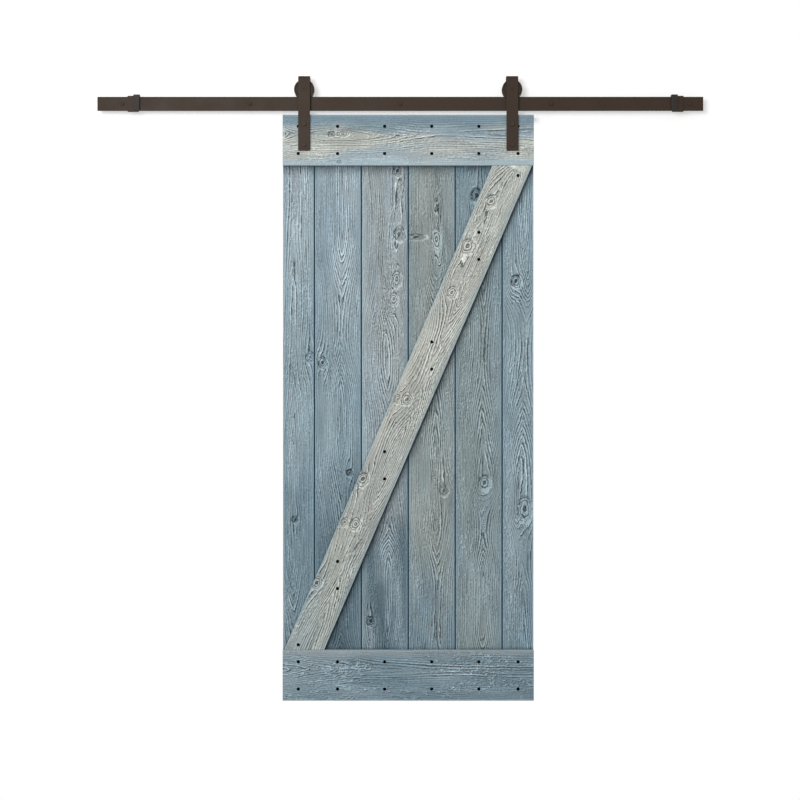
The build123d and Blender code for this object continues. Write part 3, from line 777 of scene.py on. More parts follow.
PLANKS = [
    Board(
        node="plank_1",
        head="mist",
        middle="denim",
        foot="storm",
        patch="mist",
        patch_amount=0.35,
        changes=(0.7, 1.3),
        pith=[(0, 0.05), (0.9, 0.03), (1.45, 0.0), (1.9, 0.05), (2.13, 0.06)],
        pith_across=-0.02,
        flecks=0.5,
        knots=[Knot(0.882, 0.043, 0.015), Knot(1.475, -0.012, 0.012, dark=1.1)],
        joint_low=0.0,
    ),
    Board(
        node="plank_2",
        head="mist",
        middle="denim",
        foot="slate",
        patch="storm",
        patch_amount=0.5,
        changes=(0.8, 1.42),
        pith=[(0, 0.02), (0.38, 0.0), (0.75, 0.05), (1.1, 0.005), (1.4, 0.035), (1.8, 0.06), (2.13, 0.0)],
        pith_across=0.014,
        flecks=0.3,
        knots=[Knot(0.902, -0.056, 0.016, dark=0.8), Knot(1.305, 0.043, 0.011, dark=1.3)],
    ),
    Board(
        node="plank_3",
        head="stone",
        middle="stone",
        foot="slate",
        patch="mist",
        changes=(0.7, 1.4),
        pith=[(0, 0.05), (0.5, 0.07), (0.88, 0.03), (1.2, 0.06), (1.5, 0.045), (1.72, 0.0), (2.13, 0.04)],
        pith_across=0.01,
        knots=[
            Knot(0.201, 0.047, 0.016, dark=0.8),
            Knot(0.433, 0.054, 0.02, dark=0.7),
            Knot(0.598, 0.044, 0.016, 1.8, 0.2),
            Knot(0.67, 0.034, 0.014, 1.6, 0.2),
            Knot(1.847, -0.051, 0.015, dark=1.0),
        ],
        low_tint=Tint("ice", 0.03, 0.45),
    ),
    Board(
        node="plank_4",
        head="sage",
        middle="sage",
        foot="storm",
        patch="pewter",
        changes=(0.9, 1.75),
        pith=[(0, 0.03), (0.45, 0.0), (0.8, 0.04), (1.37, 0.01), (1.8, 0.05), (2.13, 0.03)],
        pith_across=0.018,
        knots=[
            Knot(0.31, 0.018, 0.007, dark=0.8),
            Knot(0.452, 0.018, 0.016, 2.4, 0.15),
            Knot(0.444, -0.056, 0.036, 0.3, 0.7, 0.0),
            Knot(1.37, 0.044, 0.016),
        ],
    ),
    Board(
        node="plank_5",
        head="storm",
        middle="pewter",
        foot="pewter",
        patch="denim",
        changes=(0.45, 1.5),
        pith=[(0, 0.02), (0.3, 0.0), (0.85, 0.04), (1.3, 0.0), (1.48, 0.03), (1.75, 0.0), (2.13, 0.05)],
        pith_across=0.016,
        knots=[Knot(0.292, -0.007, 0.02, dark=0.9), Knot(1.341, 0.022, 0.021, dark=0.6)],
    ),
    Board(
        node="plank_6",
        head="denim",
        middle="denim",
        foot="storm",
        patch="mist",
        patch_amount=0.45,
        changes=(0.6, 1.75),
        pith=[
            (0, 0.03),
            (0.45, 0.0),
            (0.62, 0.02),
            (0.85, 0.062),
            (1.38, 0.0),
            (1.6, 0.03),
            (1.75, 0.015),
            (2.13, 0.0),
        ],
        pith_across=0.024,
        knots=[Knot(0.605, -0.006, 0.018, dark=0.9), Knot(1.437, 0.026, 0.024, 1.8)],
        joint_high=0.0,
    ),
]
TOP_BOARD = Board(
    node="top_rail",
    head="driftwood",
    middle="driftwood",
    foot="driftwood",
    patch="mist",
    patch_amount=0.95,
    wash_amount=0.0,
    flecks=0.55,
    changes=(0.3, 0.6),
    pith=[(0, 0.0), (0.1, 0.03), (0.3, 0.03), (0.6, 0.05), (0.914, 0.04)],
    pith_across=0.02,
    knots=[
        Knot(0.179, 0.021, 0.01, 1.3, 0.9),
        Knot(0.22, 0.021, 0.01, 2.0, 0.2),
        Knot(0.208, -0.081, 0.007, 1.5, 1.0),
    ],
    low_tint=Tint("ice", 0.035, 0.9),
    high_tint=Tint("storm", 0.09, 1.0),
    joint_low=0.0,
    joint_high=0.0,
)
BOTTOM_BOARD = Board(
    node="bottom_rail",
    head="denim",
    middle="storm",
    foot="storm",
    patch="mist",
    patch_amount=0.35,
    wash_amount=0.2,
    flecks=1.0,
    changes=(0.1, 0.5),
    pith=[(0, 0.0), (0.45, 0.045), (0.914, 0.05)],
    pith_across=0.02,
    knots=[Knot(0.257, 0.042, 0.01)],
    low_tint=Tint("slate", 0.05, 0.3),
    high_tint=Tint("stone", 0.035, 0.6),
    joint_low=0.0,
    joint_high=0.0,
)
BRACE = Board(
    node="diagonal_brace",
    head="driftwood",
    middle="ash",
    foot="dusk",
    patch="sand",
    patch_amount=0.4,
    wash_amount=0.0,
    changes=(0.95, 1.5),
    pith=[(0, 0.05), (0.35, 0.0), (0.8, 0.05), (1.15, 0.01), (1.5, 0.05), (1.9, 0.02)],
    pith_across=0.01,
    knots=[
        Knot(0.15, -0.019, 0.019, dark=0.5),
        Knot(0.334, -0.032, 0.022, dark=0.45),
        Knot(0.511, -0.019, 0.017, dark=0.4),
        Knot(0.934, -0.017, 0.018, dark=0.45),
        Knot(0.947, -0.047, 0.013, dark=0.5),
        Knot(1.264, -0.049, 0.02, dark=0.5),
        Knot(1.433, -0.048, 0.013, dark=0.5),
        Knot(1.425, -0.008, 0.018, dark=0.4),
        Knot(1.677, -0.054, 0.017, dark=0.5),
    ],
    # Painted highlight along the brace's upper left edge and painted shade along its lower right edge
    low_tint=Tint("ice", 0.006, 0.4),
    high_tint=Tint("pewter", 0.022, 0.55),
    joint_low=0.0,
    joint_high=0.0,
)


def board_lean():
    """Angle of the brace from upright, from the box of its node and its own width across."""
    low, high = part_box(BRACE.node)
    width, rise = high.x - low.x, high.z - low.z
    cut = 0.0
    for _ in range(20):
        lean = math.atan2(width - cut, rise)
        cut = settings().grain.brace_width / math.cos(lean)
    return lean


def pith_depth(wiring, board, along):
    """How deep the pith lies under the face at a place along the board, from the board's own points."""
    longest = 2.2
    deepest = 0.1
    share = wiring.over(along, longest)
    node = wiring.add("ShaderNodeFloatCurve", {"Value": share})
    curve = node.mapping.curves[0]
    first, *others = board.pith
    curve.points[0].location = (first[0] / longest, first[1] / deepest)
    curve.points[1].location = (1.0, others[-1][1] / deepest)
    for place, depth in others:
        curve.points.new(place / longest, depth / deepest)
    node.mapping.update()
    return wiring.times(node.outputs[0], deepest)


def tone(label):
    """A colour of the stain by its name."""
    return tuple(getattr(settings().stain, label))


def gather_knots(wiring, board, vector):
    """The push and nearness of all the board's knots, and the place as seen from the nearest one."""
    push, near, nearest, place = 0.0, 0.0, FAR, (FAR, 0, FAR)
    for knot in board.knots:
        shape = use_group(
            wiring,
            "Knot",
            build_knot,
            vector=vector,
            centre=(knot.along, 0, knot.across),
            radius=knot.radius,
            stretch=knot.stretch,
            push=knot.push,
            dark=knot.dark,
        )
        closer = wiring.math("LESS_THAN", shape["Reach"], nearest)
        place = wiring.choose(closer, place, shape["Place"])
        nearest = wiring.math("MINIMUM", shape["Reach"], nearest)
        push = wiring.plus(shape["Push"], push)
        near = wiring.plus(shape["Near"], near)
    return push, near, place


def tint_edges(wiring, board, colour, vector, half_width, seed):
    """The colour with washes (painted highlight and painted shade on the brace) and worn wood along the
    board's two long edges, and the mask of its joints.
    """
    edges = use_group(
        wiring,
        "Board edges",
        build_edges,
        vector=vector,
        half_width=half_width,
        joint_low=board.joint_low,
        joint_high=board.joint_high,
        joint_width=settings().grain.joint_width,
        low_reach=board.low_tint.reach,
        high_reach=board.high_tint.reach,
        seed=seed,
    )
    for mask, tint in ((edges["Low"], board.low_tint), (edges["High"], board.high_tint)):
        tinted = wiring.blend(1.0, colour, tone(tint.colour), mode="COLOR")
        towards = wiring.blend(0.7, tinted, tone(tint.colour))
        colour = wiring.blend(wiring.times(mask, tint.amount), colour, towards)
    colour = wiring.blend(wiring.times(edges["Wear"], 0.35), colour, tone("ice"))
    return colour, edges["Joint"]


def paint_corner_shade(wiring, colour, shades, front):
    """The colour with painted shade in ink beside each planted piece, on the front of the board."""
    for point, away, half_length, reach, amount in shades:
        # gathered holds the mask of painted shade beside the piece
        gathered = use_group(
            wiring,
            "Gathered stain",
            build_painted_shade,
            vector=object_vector(wiring),
            point=point,
            away=away,
            half_length=half_length,
            reach=reach,
            amount=amount,
        )
        # The ink laid over this mask is painted shade, not stain
        colour = wiring.blend(wiring.times(gathered["Mask"], front), colour, tone("ink"))
    return colour


def stained_pine(board, turn, half_width, origin, shades=()):
    """Stained pine for one board, with painted shade and highlights beside its grain, flecks and knots, and
    painted shade beside planted pieces. The turn brings the length of the board onto X and its width onto Z.
    """
    grain = settings().grain
    material, wiring, shader = new_material(f"stained_pine_{board.node}")
    rotation = Euler((0, turn, 0))
    shift = -(rotation.to_matrix() @ Vector(origin))
    # Direction toward the light, used for the painted shade and highlights beside grain, flecks and knots
    light = rotation.to_matrix() @ Vector((-0.7, 0, 0.7))
    mapping = wiring.add("ShaderNodeMapping", {"Vector": object_vector(wiring)}, vector_type="POINT")
    mapping.inputs["Rotation"].default_value = rotation
    mapping.inputs["Location"].default_value = shift
    vector = mapping.outputs[0]
    seed = float(sum(map(ord, board.node)) % 97)
    ragged = wiring.noise(vector, seed, detail=2.0, scale=60.0)
    push, near, place = gather_knots(wiring, board, vector)
    face = use_group(wiring, "Knot face", build_knot_face, place=place, ragged=ragged, light=light)
    along, depth, _ = wiring.split(vector)
    front = wiring.span(depth, 0.008, 0.006)
    rings = use_group(
        wiring,
        "Growth rings",
        build_rings,
        vector=vector,
        light=light,
        push=push,
        inside=face["Inside"],
        round=face["Round"],
        near=near,
        facing=face["Facing"],
        pith_across=board.pith_across,
        depth=pith_depth(wiring, board, along),
        depth_ahead=pith_depth(wiring, board, wiring.plus(along, SLOPE_STEP)),
        spacing=grain.ring_spacing,
        line_width=grain.line_width,
        seed=seed,
    )
    surface = use_group(
        wiring,
        "Weathered stain",
        build_stain,
        vector=vector,
        light=light,
        ridge=rings["Ridge"],
        groove=rings["Groove"],
        dark=face["Dark"],
        pale=face["Pale"],
        head=tone(board.head),
        middle=tone(board.middle),
        foot=tone(board.foot),
        patch=tone(board.patch),
        wash=tone("blue"),
        patch_amount=board.patch_amount,
        wash_amount=board.wash_amount,
        first_change=board.changes[0],
        second_change=board.changes[1],
        ink=tone("ink"),
        ridge_light=grain.ridge_light,
        groove_dark=grain.groove_dark,
        flecks=board.flecks,
        seed=seed,
    )
    finish_surface(wiring, shader, surface, grain.relief)
    colour, joint = tint_edges(wiring, board, surface["Colour"], vector, half_width, seed)
    colour = paint_corner_shade(wiring, colour, shades, front)
    colour = wiring.blend(joint, colour, tone("joint"))
    wiring.put(shader.inputs["Base Color"], colour)
    shader.inputs["Specular IOR Level"].default_value = 0.25
    return material


def plank_faces():
    """Left and right side of each plank's face. A tongue runs past the right side, into its neighbour."""
    boxes = [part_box(board.node) for board in PLANKS]
    lefts = [low.x for low, _ in boxes]
    rights = [*lefts[1:], boxes[-1][1].x]
    return list(zip(lefts, rights))


class BARNDOOR_OT_stain_planks(Operator):
    """Stain the upright planks, each with its own grain and knots"""

    bl_idname = "barn_door.stain_planks"
    bl_label = "Stain Planks"

    def execute(self, context):
        lean = board_lean()
        brace_width = settings().grain.brace_width
        brace_low, brace_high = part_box(BRACE.node)
        middle = (brace_low + brace_high) / 2
        aside = Vector((math.cos(lean), 0, -math.sin(lean)))
        # Painted shade on the planks: under the top board, above the bottom board, and on both sides of the
        # brace, deepest on its lower right side
        shades = (
            ((0, 0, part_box(TOP_BOARD.node)[0].z), (0, 0, -1), FAR, 0.046, 0.74),
            ((0, 0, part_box(BOTTOM_BOARD.node)[1].z), (0, 0, 1), FAR, 0.012, 0.5),
            (middle + aside * brace_width / 2, aside, FAR, 0.036, 0.85),
            (middle - aside * brace_width / 2, -aside, FAR, 0.01, 0.3),
        )
        for board, (left, right) in zip(PLANKS, plank_faces()):
            low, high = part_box(board.node)
            origin = ((left + right) / 2, low.y, high.z)
            dress(board.node, stained_pine(board, -math.pi / 2, (right - left) / 2, origin, shades))
        return {"FINISHED"}


class BARNDOOR_OT_stain_boards(Operator):
    """Stain the top board, the bottom board and the brace"""

    bl_idname = "barn_door.stain_boards"
    bl_label = "Stain Boards"

    def execute(self, context):
        strap_shadows = []
        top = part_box(TOP_BOARD.node)[1].z
        # Painted shadow of each hanger strap on the top board, to the right of the strap
        for side in SIDES:
            low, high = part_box(f"hanger_strap_{side}")
            strap_shadows.append(((high.x, 0, (low.z + top) / 2), (1, 0, 0), (top - low.z) / 2, 0.009, 0.6))
        for board, shades in ((TOP_BOARD, strap_shadows), (BOTTOM_BOARD, ())):
            low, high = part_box(board.node)
            origin = (low.x, low.y, (low.z + high.z) / 2)
            dress(board.node, stained_pine(board, 0.0, (high.z - low.z) / 2, origin, shades))
        low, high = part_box(BRACE.node)
        lean = board_lean()
        middle = (low + high) / 2
        half_length = (high.z - low.z) / 2 / math.cos(lean)
        head = middle + Vector((math.sin(lean), 0, math.cos(lean))) * half_length
        origin = (head.x, low.y, head.z)
        dress(BRACE.node, stained_pine(BRACE, -math.pi / 2 - lean, settings().grain.brace_width / 2, origin))
        return {"FINISHED"}


class BARNDOOR_OT_paint_hardware(Operator):
    """Paint the track, its stops, the hanger straps and the wheels"""

    bl_idname = "barn_door.paint_hardware"
    bl_label = "Paint Hardware"

    def execute(self, context):
        hardware = settings().hardware
        bronze = coat("bronze_powder_coat", hardware.bronze)
        worn = coat("wheel_powder_coat", hardware.bronze, scuffs=0.6, seed=8.0)
        zinc = coat("zinc_plate", hardware.zinc, metallic=1.0, scuffs=0.2, relief=0.00005, seed=4.0)
        rubber = coat("rubber", hardware.rubber, scuffs=0.1, relief=0.0003, seed=6.0, specular=0.2)
        black = coat("black_oxide", hardware.screw_black, scuffs=0.1, relief=0.00005, seed=2.0)
        plain = {"track_bar": bronze}
        for number in range(1, 6):
            plain[f"wall_spacer_{number}"] = bronze
        for side in SIDES:
            plain.update({
                f"stop_clamp_{side}": bronze,
                f"stop_bumper_{side}": rubber,
                f"stop_set_screw_{side}": black,
                f"hanger_strap_{side}": bronze,
                f"axle_bushings_{side}": zinc,
                f"wheel_{side}": worn,
                f"wheel_bearing_{side}": zinc,
            })
        for node, material in plain.items():
            dress(node, material)
        return {"FINISHED"}


# Turned and threaded pieces, built about the Y axis with their seat at the origin, then stamped in place

EASE = 0.0003
THREAD_DEPTH = 0.0006
RUNNING_GAP = 0.00005


def places_of(node, seat):
    """Where the separate solids of a CAD node stand, each seen along Y, with the seat's place along Y."""
    thing = NODES[node]
    shape = bmesh.new()
    shape.from_mesh(thing.data)
    bmesh.ops.transform(shape, matrix=thing.matrix_world, verts=shape.verts)
    bmesh.ops.remove_doubles(shape, verts=shape.verts, dist=1e-6)
    waiting = set(shape.verts)
    places = set()
    while waiting:
        found = set()
        fresh = {waiting.pop()}
        while fresh:
            found |= fresh
            fresh = {edge.other_vert(vert) for vert in fresh for edge in vert.link_edges} - found
        waiting -= found
        xs = [vert.co.x for vert in found]
        zs = [vert.co.z for vert in found]
        places.add((round((min(xs) + max(xs)) / 2, 5), seat, round((min(zs) + max(zs)) / 2, 5)))
    shape.free()
    return sorted(places)


def turn(shape, profile, closed=False):
    """A solid turned about the Y axis from points of place along Y and radius."""
    verts = [shape.verts.new((radius, place, 0)) for place, radius in profile]
    ends = [*verts[1:], verts[0]] if closed else verts[1:]
    edges = [shape.edges.new(pair) for pair in zip(verts, ends)]
    steps = settings().hardware.turn_segments
    parts = [*verts, *edges]
    bmesh.ops.spin(
        shape, geom=parts, cent=(0, 0, 0), axis=(0, 1, 0), angle=2 * math.pi, steps=steps, use_merge=True
    )
    bmesh.ops.remove_doubles(shape, verts=shape.verts, dist=1e-7)


def cut_flats(shape, flats):
    """Cuts six flats on whatever reaches past them, with corners to the left and right."""
    for number in range(6):
        angle = math.radians(30 + 60 * number)
        outward = Vector((math.cos(angle), 0, math.sin(angle)))
        parts = [*shape.verts, *shape.edges, *shape.faces]
        cut = bmesh.ops.bisect_plane(
            shape, geom=parts, dist=1e-7, plane_co=outward * flats / 2, plane_no=outward, clear_outer=True
        )
        edges = [part for part in cut["geom_cut"] if isinstance(part, bmesh.types.BMEdge)]
        bmesh.ops.holes_fill(shape, edges=edges)


def cut_drive(shape, mouth, form):
    """Gives the round recess inside the mouth's radius the outline of its drive."""
    for vert in shape.verts:
        radius = math.hypot(vert.co.x, vert.co.z)
        if 0 < radius < mouth * 1.01:
            share = form(math.atan2(vert.co.z, vert.co.x))
            vert.co.x *= share
            vert.co.z *= share


def star(angle):
    """Share of the mouth's radius at an angle of a six-lobed drive."""
    return 0.88 + 0.12 * math.cos(6 * angle)


def hexagon(angle):
    """Share of the corner's radius at an angle of a hexagon."""
    return math.cos(math.pi / 6) / math.cos(angle % (math.pi / 3) - math.pi / 6)


def add_thread(shape, core, crest, start, end, pitch):
    """A thread wound round its core: a closed helix, sunk a little into the core."""
    steps = settings().hardware.turn_segments
    turns = int((end - start) / pitch) - 1
    before = set(shape.verts)
    sunk = core * 0.97
    section = [(start, sunk), (start + pitch * 0.45, crest), (start + pitch * 0.9, sunk)]
    verts = [shape.verts.new((radius, place, 0)) for place, radius in section]
    edges = [shape.edges.new(pair) for pair in zip(verts, [*verts[1:], verts[0]])]
    bmesh.ops.spin(
        shape,
        geom=[*verts, *edges],
        cent=(0, 0, 0),
        axis=(0, 1, 0),
        dvec=(0, pitch / steps, 0),
        angle=2 * math.pi * turns,
        steps=steps * turns,
        use_merge=False,
    )
    fresh = [vert for vert in shape.verts if vert not in before]
    open_edges = {edge for vert in fresh for edge in vert.link_edges if edge.is_boundary}
    bmesh.ops.holes_fill(shape, edges=list(open_edges))


def finished_mesh(shape, name):
    """The shape as a mesh with outward faces; stamp later makes it smooth but for its sharp edges."""
    bmesh.ops.recalc_face_normals(shape, faces=shape.faces)
    mesh = bpy.data.meshes.new(name)
    shape.to_mesh(mesh)
    shape.free()
    return mesh


def stamp(name, pattern, node, seat, body, material):
    """One piece that stands for a CAD node, with a copy of the pattern where each of its solids is."""
    shape = bmesh.new()
    for place in places_of(node, seat):
        known = set(shape.verts)
        shape.from_mesh(pattern)
        bmesh.ops.translate(shape, verts=[vert for vert in shape.verts if vert not in known], vec=place)
    mesh = bpy.data.meshes.new(name)
    shape.to_mesh(mesh)
    shape.free()
    mesh.shade_smooth()
    mesh.set_sharp_from_angle(angle=math.radians(28))
    piece = bpy.data.objects.new(name, mesh)
    bpy.context.scene.collection.objects.link(piece)
    dress(piece, material)
    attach(piece, body)
    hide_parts(node)
    return piece


def hex_sizes(flats):
    """Radius to the corners, radius of the round face inside them, and height of the chamfer between."""
    corner = flats / 2 / math.cos(math.pi / 6)
    face = flats * 0.475
    return corner, face, (corner - face) * math.tan(math.radians(30))


def hex_head(flats, height):
    """Profile of a bolt head in front of its seat: dished top, chamfered corners and a washer face below."""
    corner, face, chamfer = hex_sizes(flats)
    dish = 0.0004
    return [
        (dish - height, 0),
        (dish - height, face * 0.6),
        (-height, face * 0.72),
        (-height, face),
        (chamfer - height, corner),
        (-EASE, corner),
        (-EASE, face),
        (0, face),
    ]


def bolt_pattern(length, thread_start, core, pitch, tip):
    """A hexagon-headed bolt with a threaded end, which is eased or comes to a point."""
    hardware = settings().hardware
    shank = hardware.bolt_radius
    end = [(length - tip, core), (length, 0)]
    if tip < shank:
        end = [(length - tip, core), (length, core - tip), (length, 0)]
    shape = bmesh.new()
    profile = [*hex_head(hardware.bolt_flats, hardware.bolt_head), (0, shank), (thread_start, shank)]
    turn(shape, [*profile, (thread_start + THREAD_DEPTH, core), *end])
    cut_flats(shape, hardware.bolt_flats)
    add_thread(shape, core, shank, thread_start, length - tip, pitch)
    return finished_mesh(shape, "bolt_pattern")


def add_nut(shape, flats, height, bore, seat=0.0):
    """A hexagon nut behind its seat, chamfered on both sides."""
    corner, face, chamfer = hex_sizes(flats)
    flare = 0.0004
    profile = [
        (0, bore + flare),
        (0, face),
        (chamfer, corner),
        (height - chamfer, corner),
        (height, face),
        (height, bore + flare),
        (height - flare, bore),
        (flare, bore),
    ]
    turn(shape, [(seat + place, radius) for place, radius in profile], closed=True)
    cut_flats(shape, flats)


def add_washer(shape, radius, thickness, bore):
    """A flat washer behind its seat, with eased rims."""
    ease = thickness * 0.2
    profile = [
        (0, bore),
        (0, radius - ease),
        (ease, radius),
        (thickness - ease, radius),
        (thickness, radius - ease),
        (thickness, bore),
    ]
    turn(shape, profile, closed=True)


class BARNDOOR_OT_drive_screws(Operator):
    """Make the countersunk board screws with their star drives"""

    bl_idname = "barn_door.drive_screws"
    bl_label = "Drive Screws"

    def execute(self, context):
        hardware = settings().hardware
        black = coat(
            "screw_oxide", hardware.screw_black, scuffs=0.1, relief=0.00005, seed=2.0, specular=0.03
        )
        for node in ("top_rail_screws", "bottom_rail_screws", "brace_screws"):
            low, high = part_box(node)
            stamp(f"{node}_driven", self.pattern(high.y - low.y), node, low.y, "door", black)
        return {"FINISHED"}

    def pattern(self, length):
        hardware = settings().hardware
        head, shank, mouth = hardware.screw_head, hardware.screw_shank, hardware.star_mouth
        under = (head - shank) / math.tan(math.radians(41))
        socket, point = 0.0018, 0.005
        shape = bmesh.new()
        turn(
            shape,
            [
                (socket, 0),
                (socket, mouth * 0.86),
                (EASE, mouth * 0.96),
                (0, mouth),
                (0, head - EASE),
                (EASE, head - 0.0001),
                (under, shank),
                (length - point, shank),
                (length, 0),
            ],
        )
        cut_drive(shape, mouth, star)
        return finished_mesh(shape, "screw_pattern")


class BARNDOOR_OT_bolt_hangers(Operator):
    """Make the bolts of the hanger straps, and the washers and nuts behind the leaf"""

    bl_idname = "barn_door.bolt_hangers"
    bl_label = "Bolt Hangers"

    def execute(self, context):
        hardware = settings().hardware
        # Lighter bronze on the bolts is painted highlight, and their scuffs are wear
        worn = coat("bolt_powder_coat", hardware.bolt_bronze, scuffs=0.5, seed=11.0)
        zinc = coat("bolt_zinc", hardware.zinc, metallic=1.0, scuffs=0.2, relief=0.00005, seed=5.0)
        nuts = bmesh.new()
        bore = hardware.bolt_radius + RUNNING_GAP
        nut_low, nut_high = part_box("hanger_nuts_left")
        washer = hardware.washer_thickness
        add_nut(nuts, hardware.bolt_flats, nut_high.y - nut_low.y - washer, bore, seat=washer)
        add_washer(nuts, hardware.washer_radius, washer, bore)
        nut_pattern = finished_mesh(nuts, "nut_pattern")
        for side in SIDES:
            bolts = f"hanger_bolts_{side}"
            low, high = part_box(bolts)
            seat = low.y + hardware.bolt_head
            core = hardware.bolt_radius - THREAD_DEPTH
            length = high.y - seat
            threaded = 0.022
            pattern = bolt_pattern(length, length - threaded, core, hardware.thread_pitch, THREAD_DEPTH)
            stamp(f"strap_bolts_{side}", pattern, bolts, seat, "door", worn)
            stamp(f"strap_nuts_{side}", nut_pattern, f"hanger_nuts_{side}", nut_low.y, "door", zinc)
        return {"FINISHED"}


class BARNDOOR_OT_fit_axles(Operator):
    """Make the wheel axles with their sunk heads and hexagon sockets, and their nuts"""

    bl_idname = "barn_door.fit_axles"
    bl_label = "Fit Axles"

    def execute(self, context):
        hardware = settings().hardware
        bronze = coat("axle_powder_coat", hardware.bronze, scuffs=0.5, seed=13.0)
        zinc = coat("axle_nut_zinc", hardware.zinc, metallic=1.0, scuffs=0.2, relief=0.00005, seed=7.0)
        for side in SIDES:
            axle, nut = f"wheel_axle_{side}", f"axle_nut_{side}"
            low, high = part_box(axle)
            nut_low, nut_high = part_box(nut)
            neck = nut_low.y - hardware.strap_thickness - low.y
            pattern = self.axle_pattern(high.y - low.y, neck)
            stamp(f"axle_{side}", pattern, axle, low.y, "door", bronze)
            shape = bmesh.new()
            bore = hardware.axle_thread + RUNNING_GAP
            add_nut(shape, nut_high.z - nut_low.z, nut_high.y - nut_low.y, bore)
            pattern = finished_mesh(shape, "axle_nut_pattern")
            stamp(f"axle_lock_nut_{side}", pattern, nut, nut_low.y, "door", zinc)
        return {"FINISHED"}

    def axle_pattern(self, length, neck):
        hardware = settings().hardware
        head, shank, crest = hardware.axle_head, hardware.axle_radius, hardware.axle_thread
        mouth, socket = 0.0029, 0.003
        core, plain = crest - THREAD_DEPTH, 0.004
        shape = bmesh.new()
        turn(
            shape,
            [
                (socket, 0),
                (socket, mouth * 0.96),
                (EASE, mouth * 0.97),
                (0, mouth),
                (0, head - EASE),
                (EASE, head - 0.0002),
                (hardware.axle_head_depth, shank),
                (neck, shank),
                (neck, crest),
                (neck + plain, crest),
                (neck + plain + THREAD_DEPTH, core),
                (length - THREAD_DEPTH, core),
                (length, core - THREAD_DEPTH),
                (length, 0),
            ],
        )
        cut_drive(shape, mouth, hexagon)
        add_thread(shape, core, crest, neck + plain + 0.0002, length - THREAD_DEPTH, hardware.thread_pitch)
        return finished_mesh(shape, "axle_pattern")


class BARNDOOR_OT_bolt_track(Operator):
    """Make the lag bolts that hold the bar, with the coarse threads that go into the wall"""

    bl_idname = "barn_door.bolt_track"
    bl_label = "Bolt Track"

    def execute(self, context):
        hardware = settings().hardware
        worn = coat("lag_powder_coat", hardware.bronze, scuffs=0.6, seed=17.0)
        for number in range(1, 6):
            node = f"lag_bolt_{number}"
            low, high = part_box(node)
            seat = low.y + hardware.bolt_head
            start, core = 0.004 - seat, 0.003
            pattern = bolt_pattern(high.y - seat, start, core, hardware.lag_pitch, hardware.lag_tip)
            stamp(f"track_bolt_{number}", pattern, node, seat, "track", worn)
        return {"FINISHED"}


# Stage


def aim(thing, target):
    thing.rotation_euler = (Vector(target) - thing.location).to_track_quat("-Z", "Y").to_euler()


def lamp(name, place, target, size, energy):
    data = bpy.data.lights.new(name, "AREA")
    data.shape, data.size, data.energy = "DISK", size, energy
    thing = bpy.data.objects.new(name, data)
    bpy.context.scene.collection.objects.link(thing)
    thing.location = place
    aim(thing, target)
    return thing


def stage_plane(name, size, place, turn, material):
    """A flat square of the stage that only the camera sees, so it keeps no light off the door's back."""
    mesh = bpy.data.meshes.new(name)
    shape = bmesh.new()
    bmesh.ops.create_grid(shape, x_segments=1, y_segments=1, size=size / 2)
    set_down = Matrix.Translation(place) @ Euler(turn).to_matrix().to_4x4()
    bmesh.ops.transform(shape, matrix=set_down, verts=shape.verts)
    shape.to_mesh(mesh)
    shape.free()
    plane = bpy.data.objects.new(name, mesh)
    bpy.context.scene.collection.objects.link(plane)
    mesh.materials.append(material)
    plane.visible_diffuse = plane.visible_glossy = plane.visible_transmission = plane.visible_shadow = False
    return plane


def backdrop_material(name, shaded_from=None, shaded_to=None):
    """White with a soft shadow on it, and clear from behind. Below the two heights it is plain white."""
    material = bpy.data.materials.new(name)
    material.use_nodes = True
    material.node_tree.nodes.clear()
    wiring = Wiring(material.node_tree)
    white = wiring.add("ShaderNodeEmission", {"Color": (1, 1, 1), "Strength": 1.0}).outputs[0]
    diffuse = wiring.add("ShaderNodeBsdfDiffuse", {"Color": (0.7, 0.7, 0.7)}).outputs[0]
    lift = wiring.add("ShaderNodeEmission", {"Color": (1, 1, 1), "Strength": 0.45}).outputs[0]
    shaded = wiring.add("ShaderNodeAddShader", {0: diffuse, 1: lift}).outputs[0]
    if shaded_from is not None:
        height = wiring.split(object_vector(wiring))[2]
        share = wiring.span(height, shaded_from, shaded_to)
        shaded = wiring.add("ShaderNodeMixShader", {0: share, 1: white, 2: shaded}).outputs[0]
    clear = wiring.add("ShaderNodeBsdfTransparent").outputs[0]
    behind = wiring.add("ShaderNodeNewGeometry").outputs["Backfacing"]
    seen = wiring.add("ShaderNodeMixShader", {0: behind, 1: shaded, 2: clear}).outputs[0]
    wiring.put(wiring.add("ShaderNodeOutputMaterial").inputs["Surface"], seen)
    return material


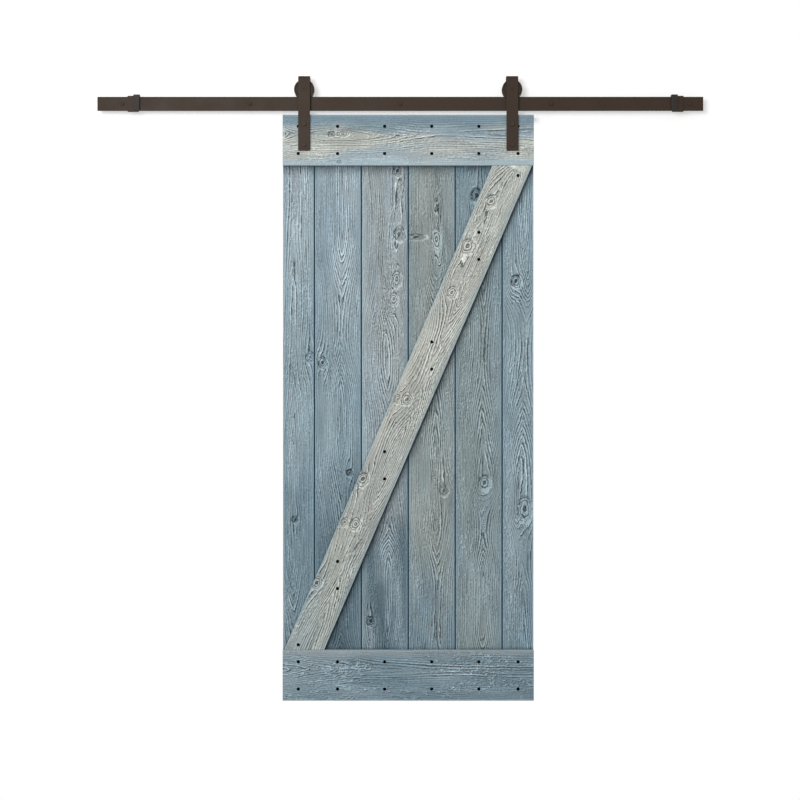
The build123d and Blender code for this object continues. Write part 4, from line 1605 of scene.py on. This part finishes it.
class BARNDOOR_OT_set_stage(Operator):
    """Set up the white wall and floor, the lamps, the sky light and the camera"""

    bl_idname = "barn_door.set_stage"
    bl_label = "Set Stage"

    def execute(self, context):
        stage = settings().stage
        low, high = CAD_BOX
        leaf_low, leaf_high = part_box(TOP_BOARD.node)
        wall = backdrop_material("wall_white", leaf_high.z - 0.03, leaf_high.z - 0.005)
        stage_plane("wall", 30.0, (0, 0, 0), (math.pi / 2, 0, 0), wall)
        stage_plane("floor", 30.0, (0, 0, low.z - 0.45), (0, 0, 0), backdrop_material("floor_white"))
        self.light_sky(stage.sky_light)
        middle = (0, 0, (low.z + high.z) / 2)
        lamp("key_lamp", (-1.9, -5.2, 0.25), middle, 2.6, stage.key_energy)
        lamp("back_lamp", (1.8, 4.0, 0.6), middle, 2.5, stage.back_energy)
        self.place_camera(stage, leaf_low.y)
        scene = bpy.context.scene
        scene.view_settings.view_transform = "Standard"
        return {"FINISHED"}

    def light_sky(self, strength):
        """Even light, and plain white where the camera or a glossy surface looks past the door."""
        world = bpy.data.worlds.new("sky")
        bpy.context.scene.world = world
        world.use_nodes = True
        world.node_tree.nodes.clear()
        wiring = Wiring(world.node_tree)
        ray = wiring.add("ShaderNodeLightPath").outputs
        seen = wiring.math("MAXIMUM", ray["Is Camera Ray"], ray["Is Glossy Ray"])
        seen = wiring.math("MAXIMUM", seen, ray["Is Transmission Ray"])
        level = wiring.span(seen, 0.0, 1.0, strength, 1.0, smooth=False)
        sky = wiring.add("ShaderNodeBackground", {"Color": (1, 1, 1), "Strength": level})
        wiring.put(wiring.add("ShaderNodeOutputWorld").inputs["Surface"], sky.outputs[0])

    def place_camera(self, stage, leaf_face):
        data = bpy.data.cameras.new("camera")
        camera = bpy.data.objects.new("camera", data)
        bpy.context.scene.collection.objects.link(camera)
        camera.location = (-0.0011, leaf_face - stage.camera_distance, stage.eye_height)
        camera.rotation_euler = (math.pi / 2, 0, 0)
        view_width = stage.pixel_size / 1000 * IMAGE_PIXELS
        data.lens = data.sensor_width * stage.camera_distance / view_width
        bpy.context.scene.camera = camera


OPERATORS = (
    BARNDOOR_OT_stain_planks,
    BARNDOOR_OT_stain_boards,
    BARNDOOR_OT_paint_hardware,
    BARNDOOR_OT_drive_screws,
    BARNDOOR_OT_bolt_hangers,
    BARNDOOR_OT_fit_axles,
    BARNDOOR_OT_bolt_track,
    BARNDOOR_OT_set_stage,
)


class BARNDOOR_PT_panel(Panel):
    """Steps that finish the barn door"""

    bl_label = "Barn Door"
    bl_idname = "BARNDOOR_PT_panel"
    bl_space_type = "VIEW_3D"
    bl_region_type = "UI"
    bl_category = "Barn Door"

    def draw(self, context):
        for operator in OPERATORS:
            self.layout.operator(operator.bl_idname)


GROUPS = (BarnDoorStain, BarnDoorGrain, BarnDoorHardware, BarnDoorStage, BarnDoorSettings)


def register():
    for group in GROUPS:
        bpy.utils.register_class(group)
    for operator in OPERATORS:
        bpy.utils.register_class(operator)
    bpy.utils.register_class(BARNDOOR_PT_panel)
    bpy.types.Scene.barn_door = PointerProperty(type=BarnDoorSettings)


def unregister():
    del bpy.types.Scene.barn_door
    bpy.utils.unregister_class(BARNDOOR_PT_panel)
    for operator in reversed(OPERATORS):
        bpy.utils.unregister_class(operator)
    for group in reversed(GROUPS):
        bpy.utils.unregister_class(group)


def main():
    register()
    for operator in OPERATORS:
        _, name = operator.bl_idname.split(".")
        getattr(bpy.ops.barn_door, name)()


if __name__ == "__main__":
    main()
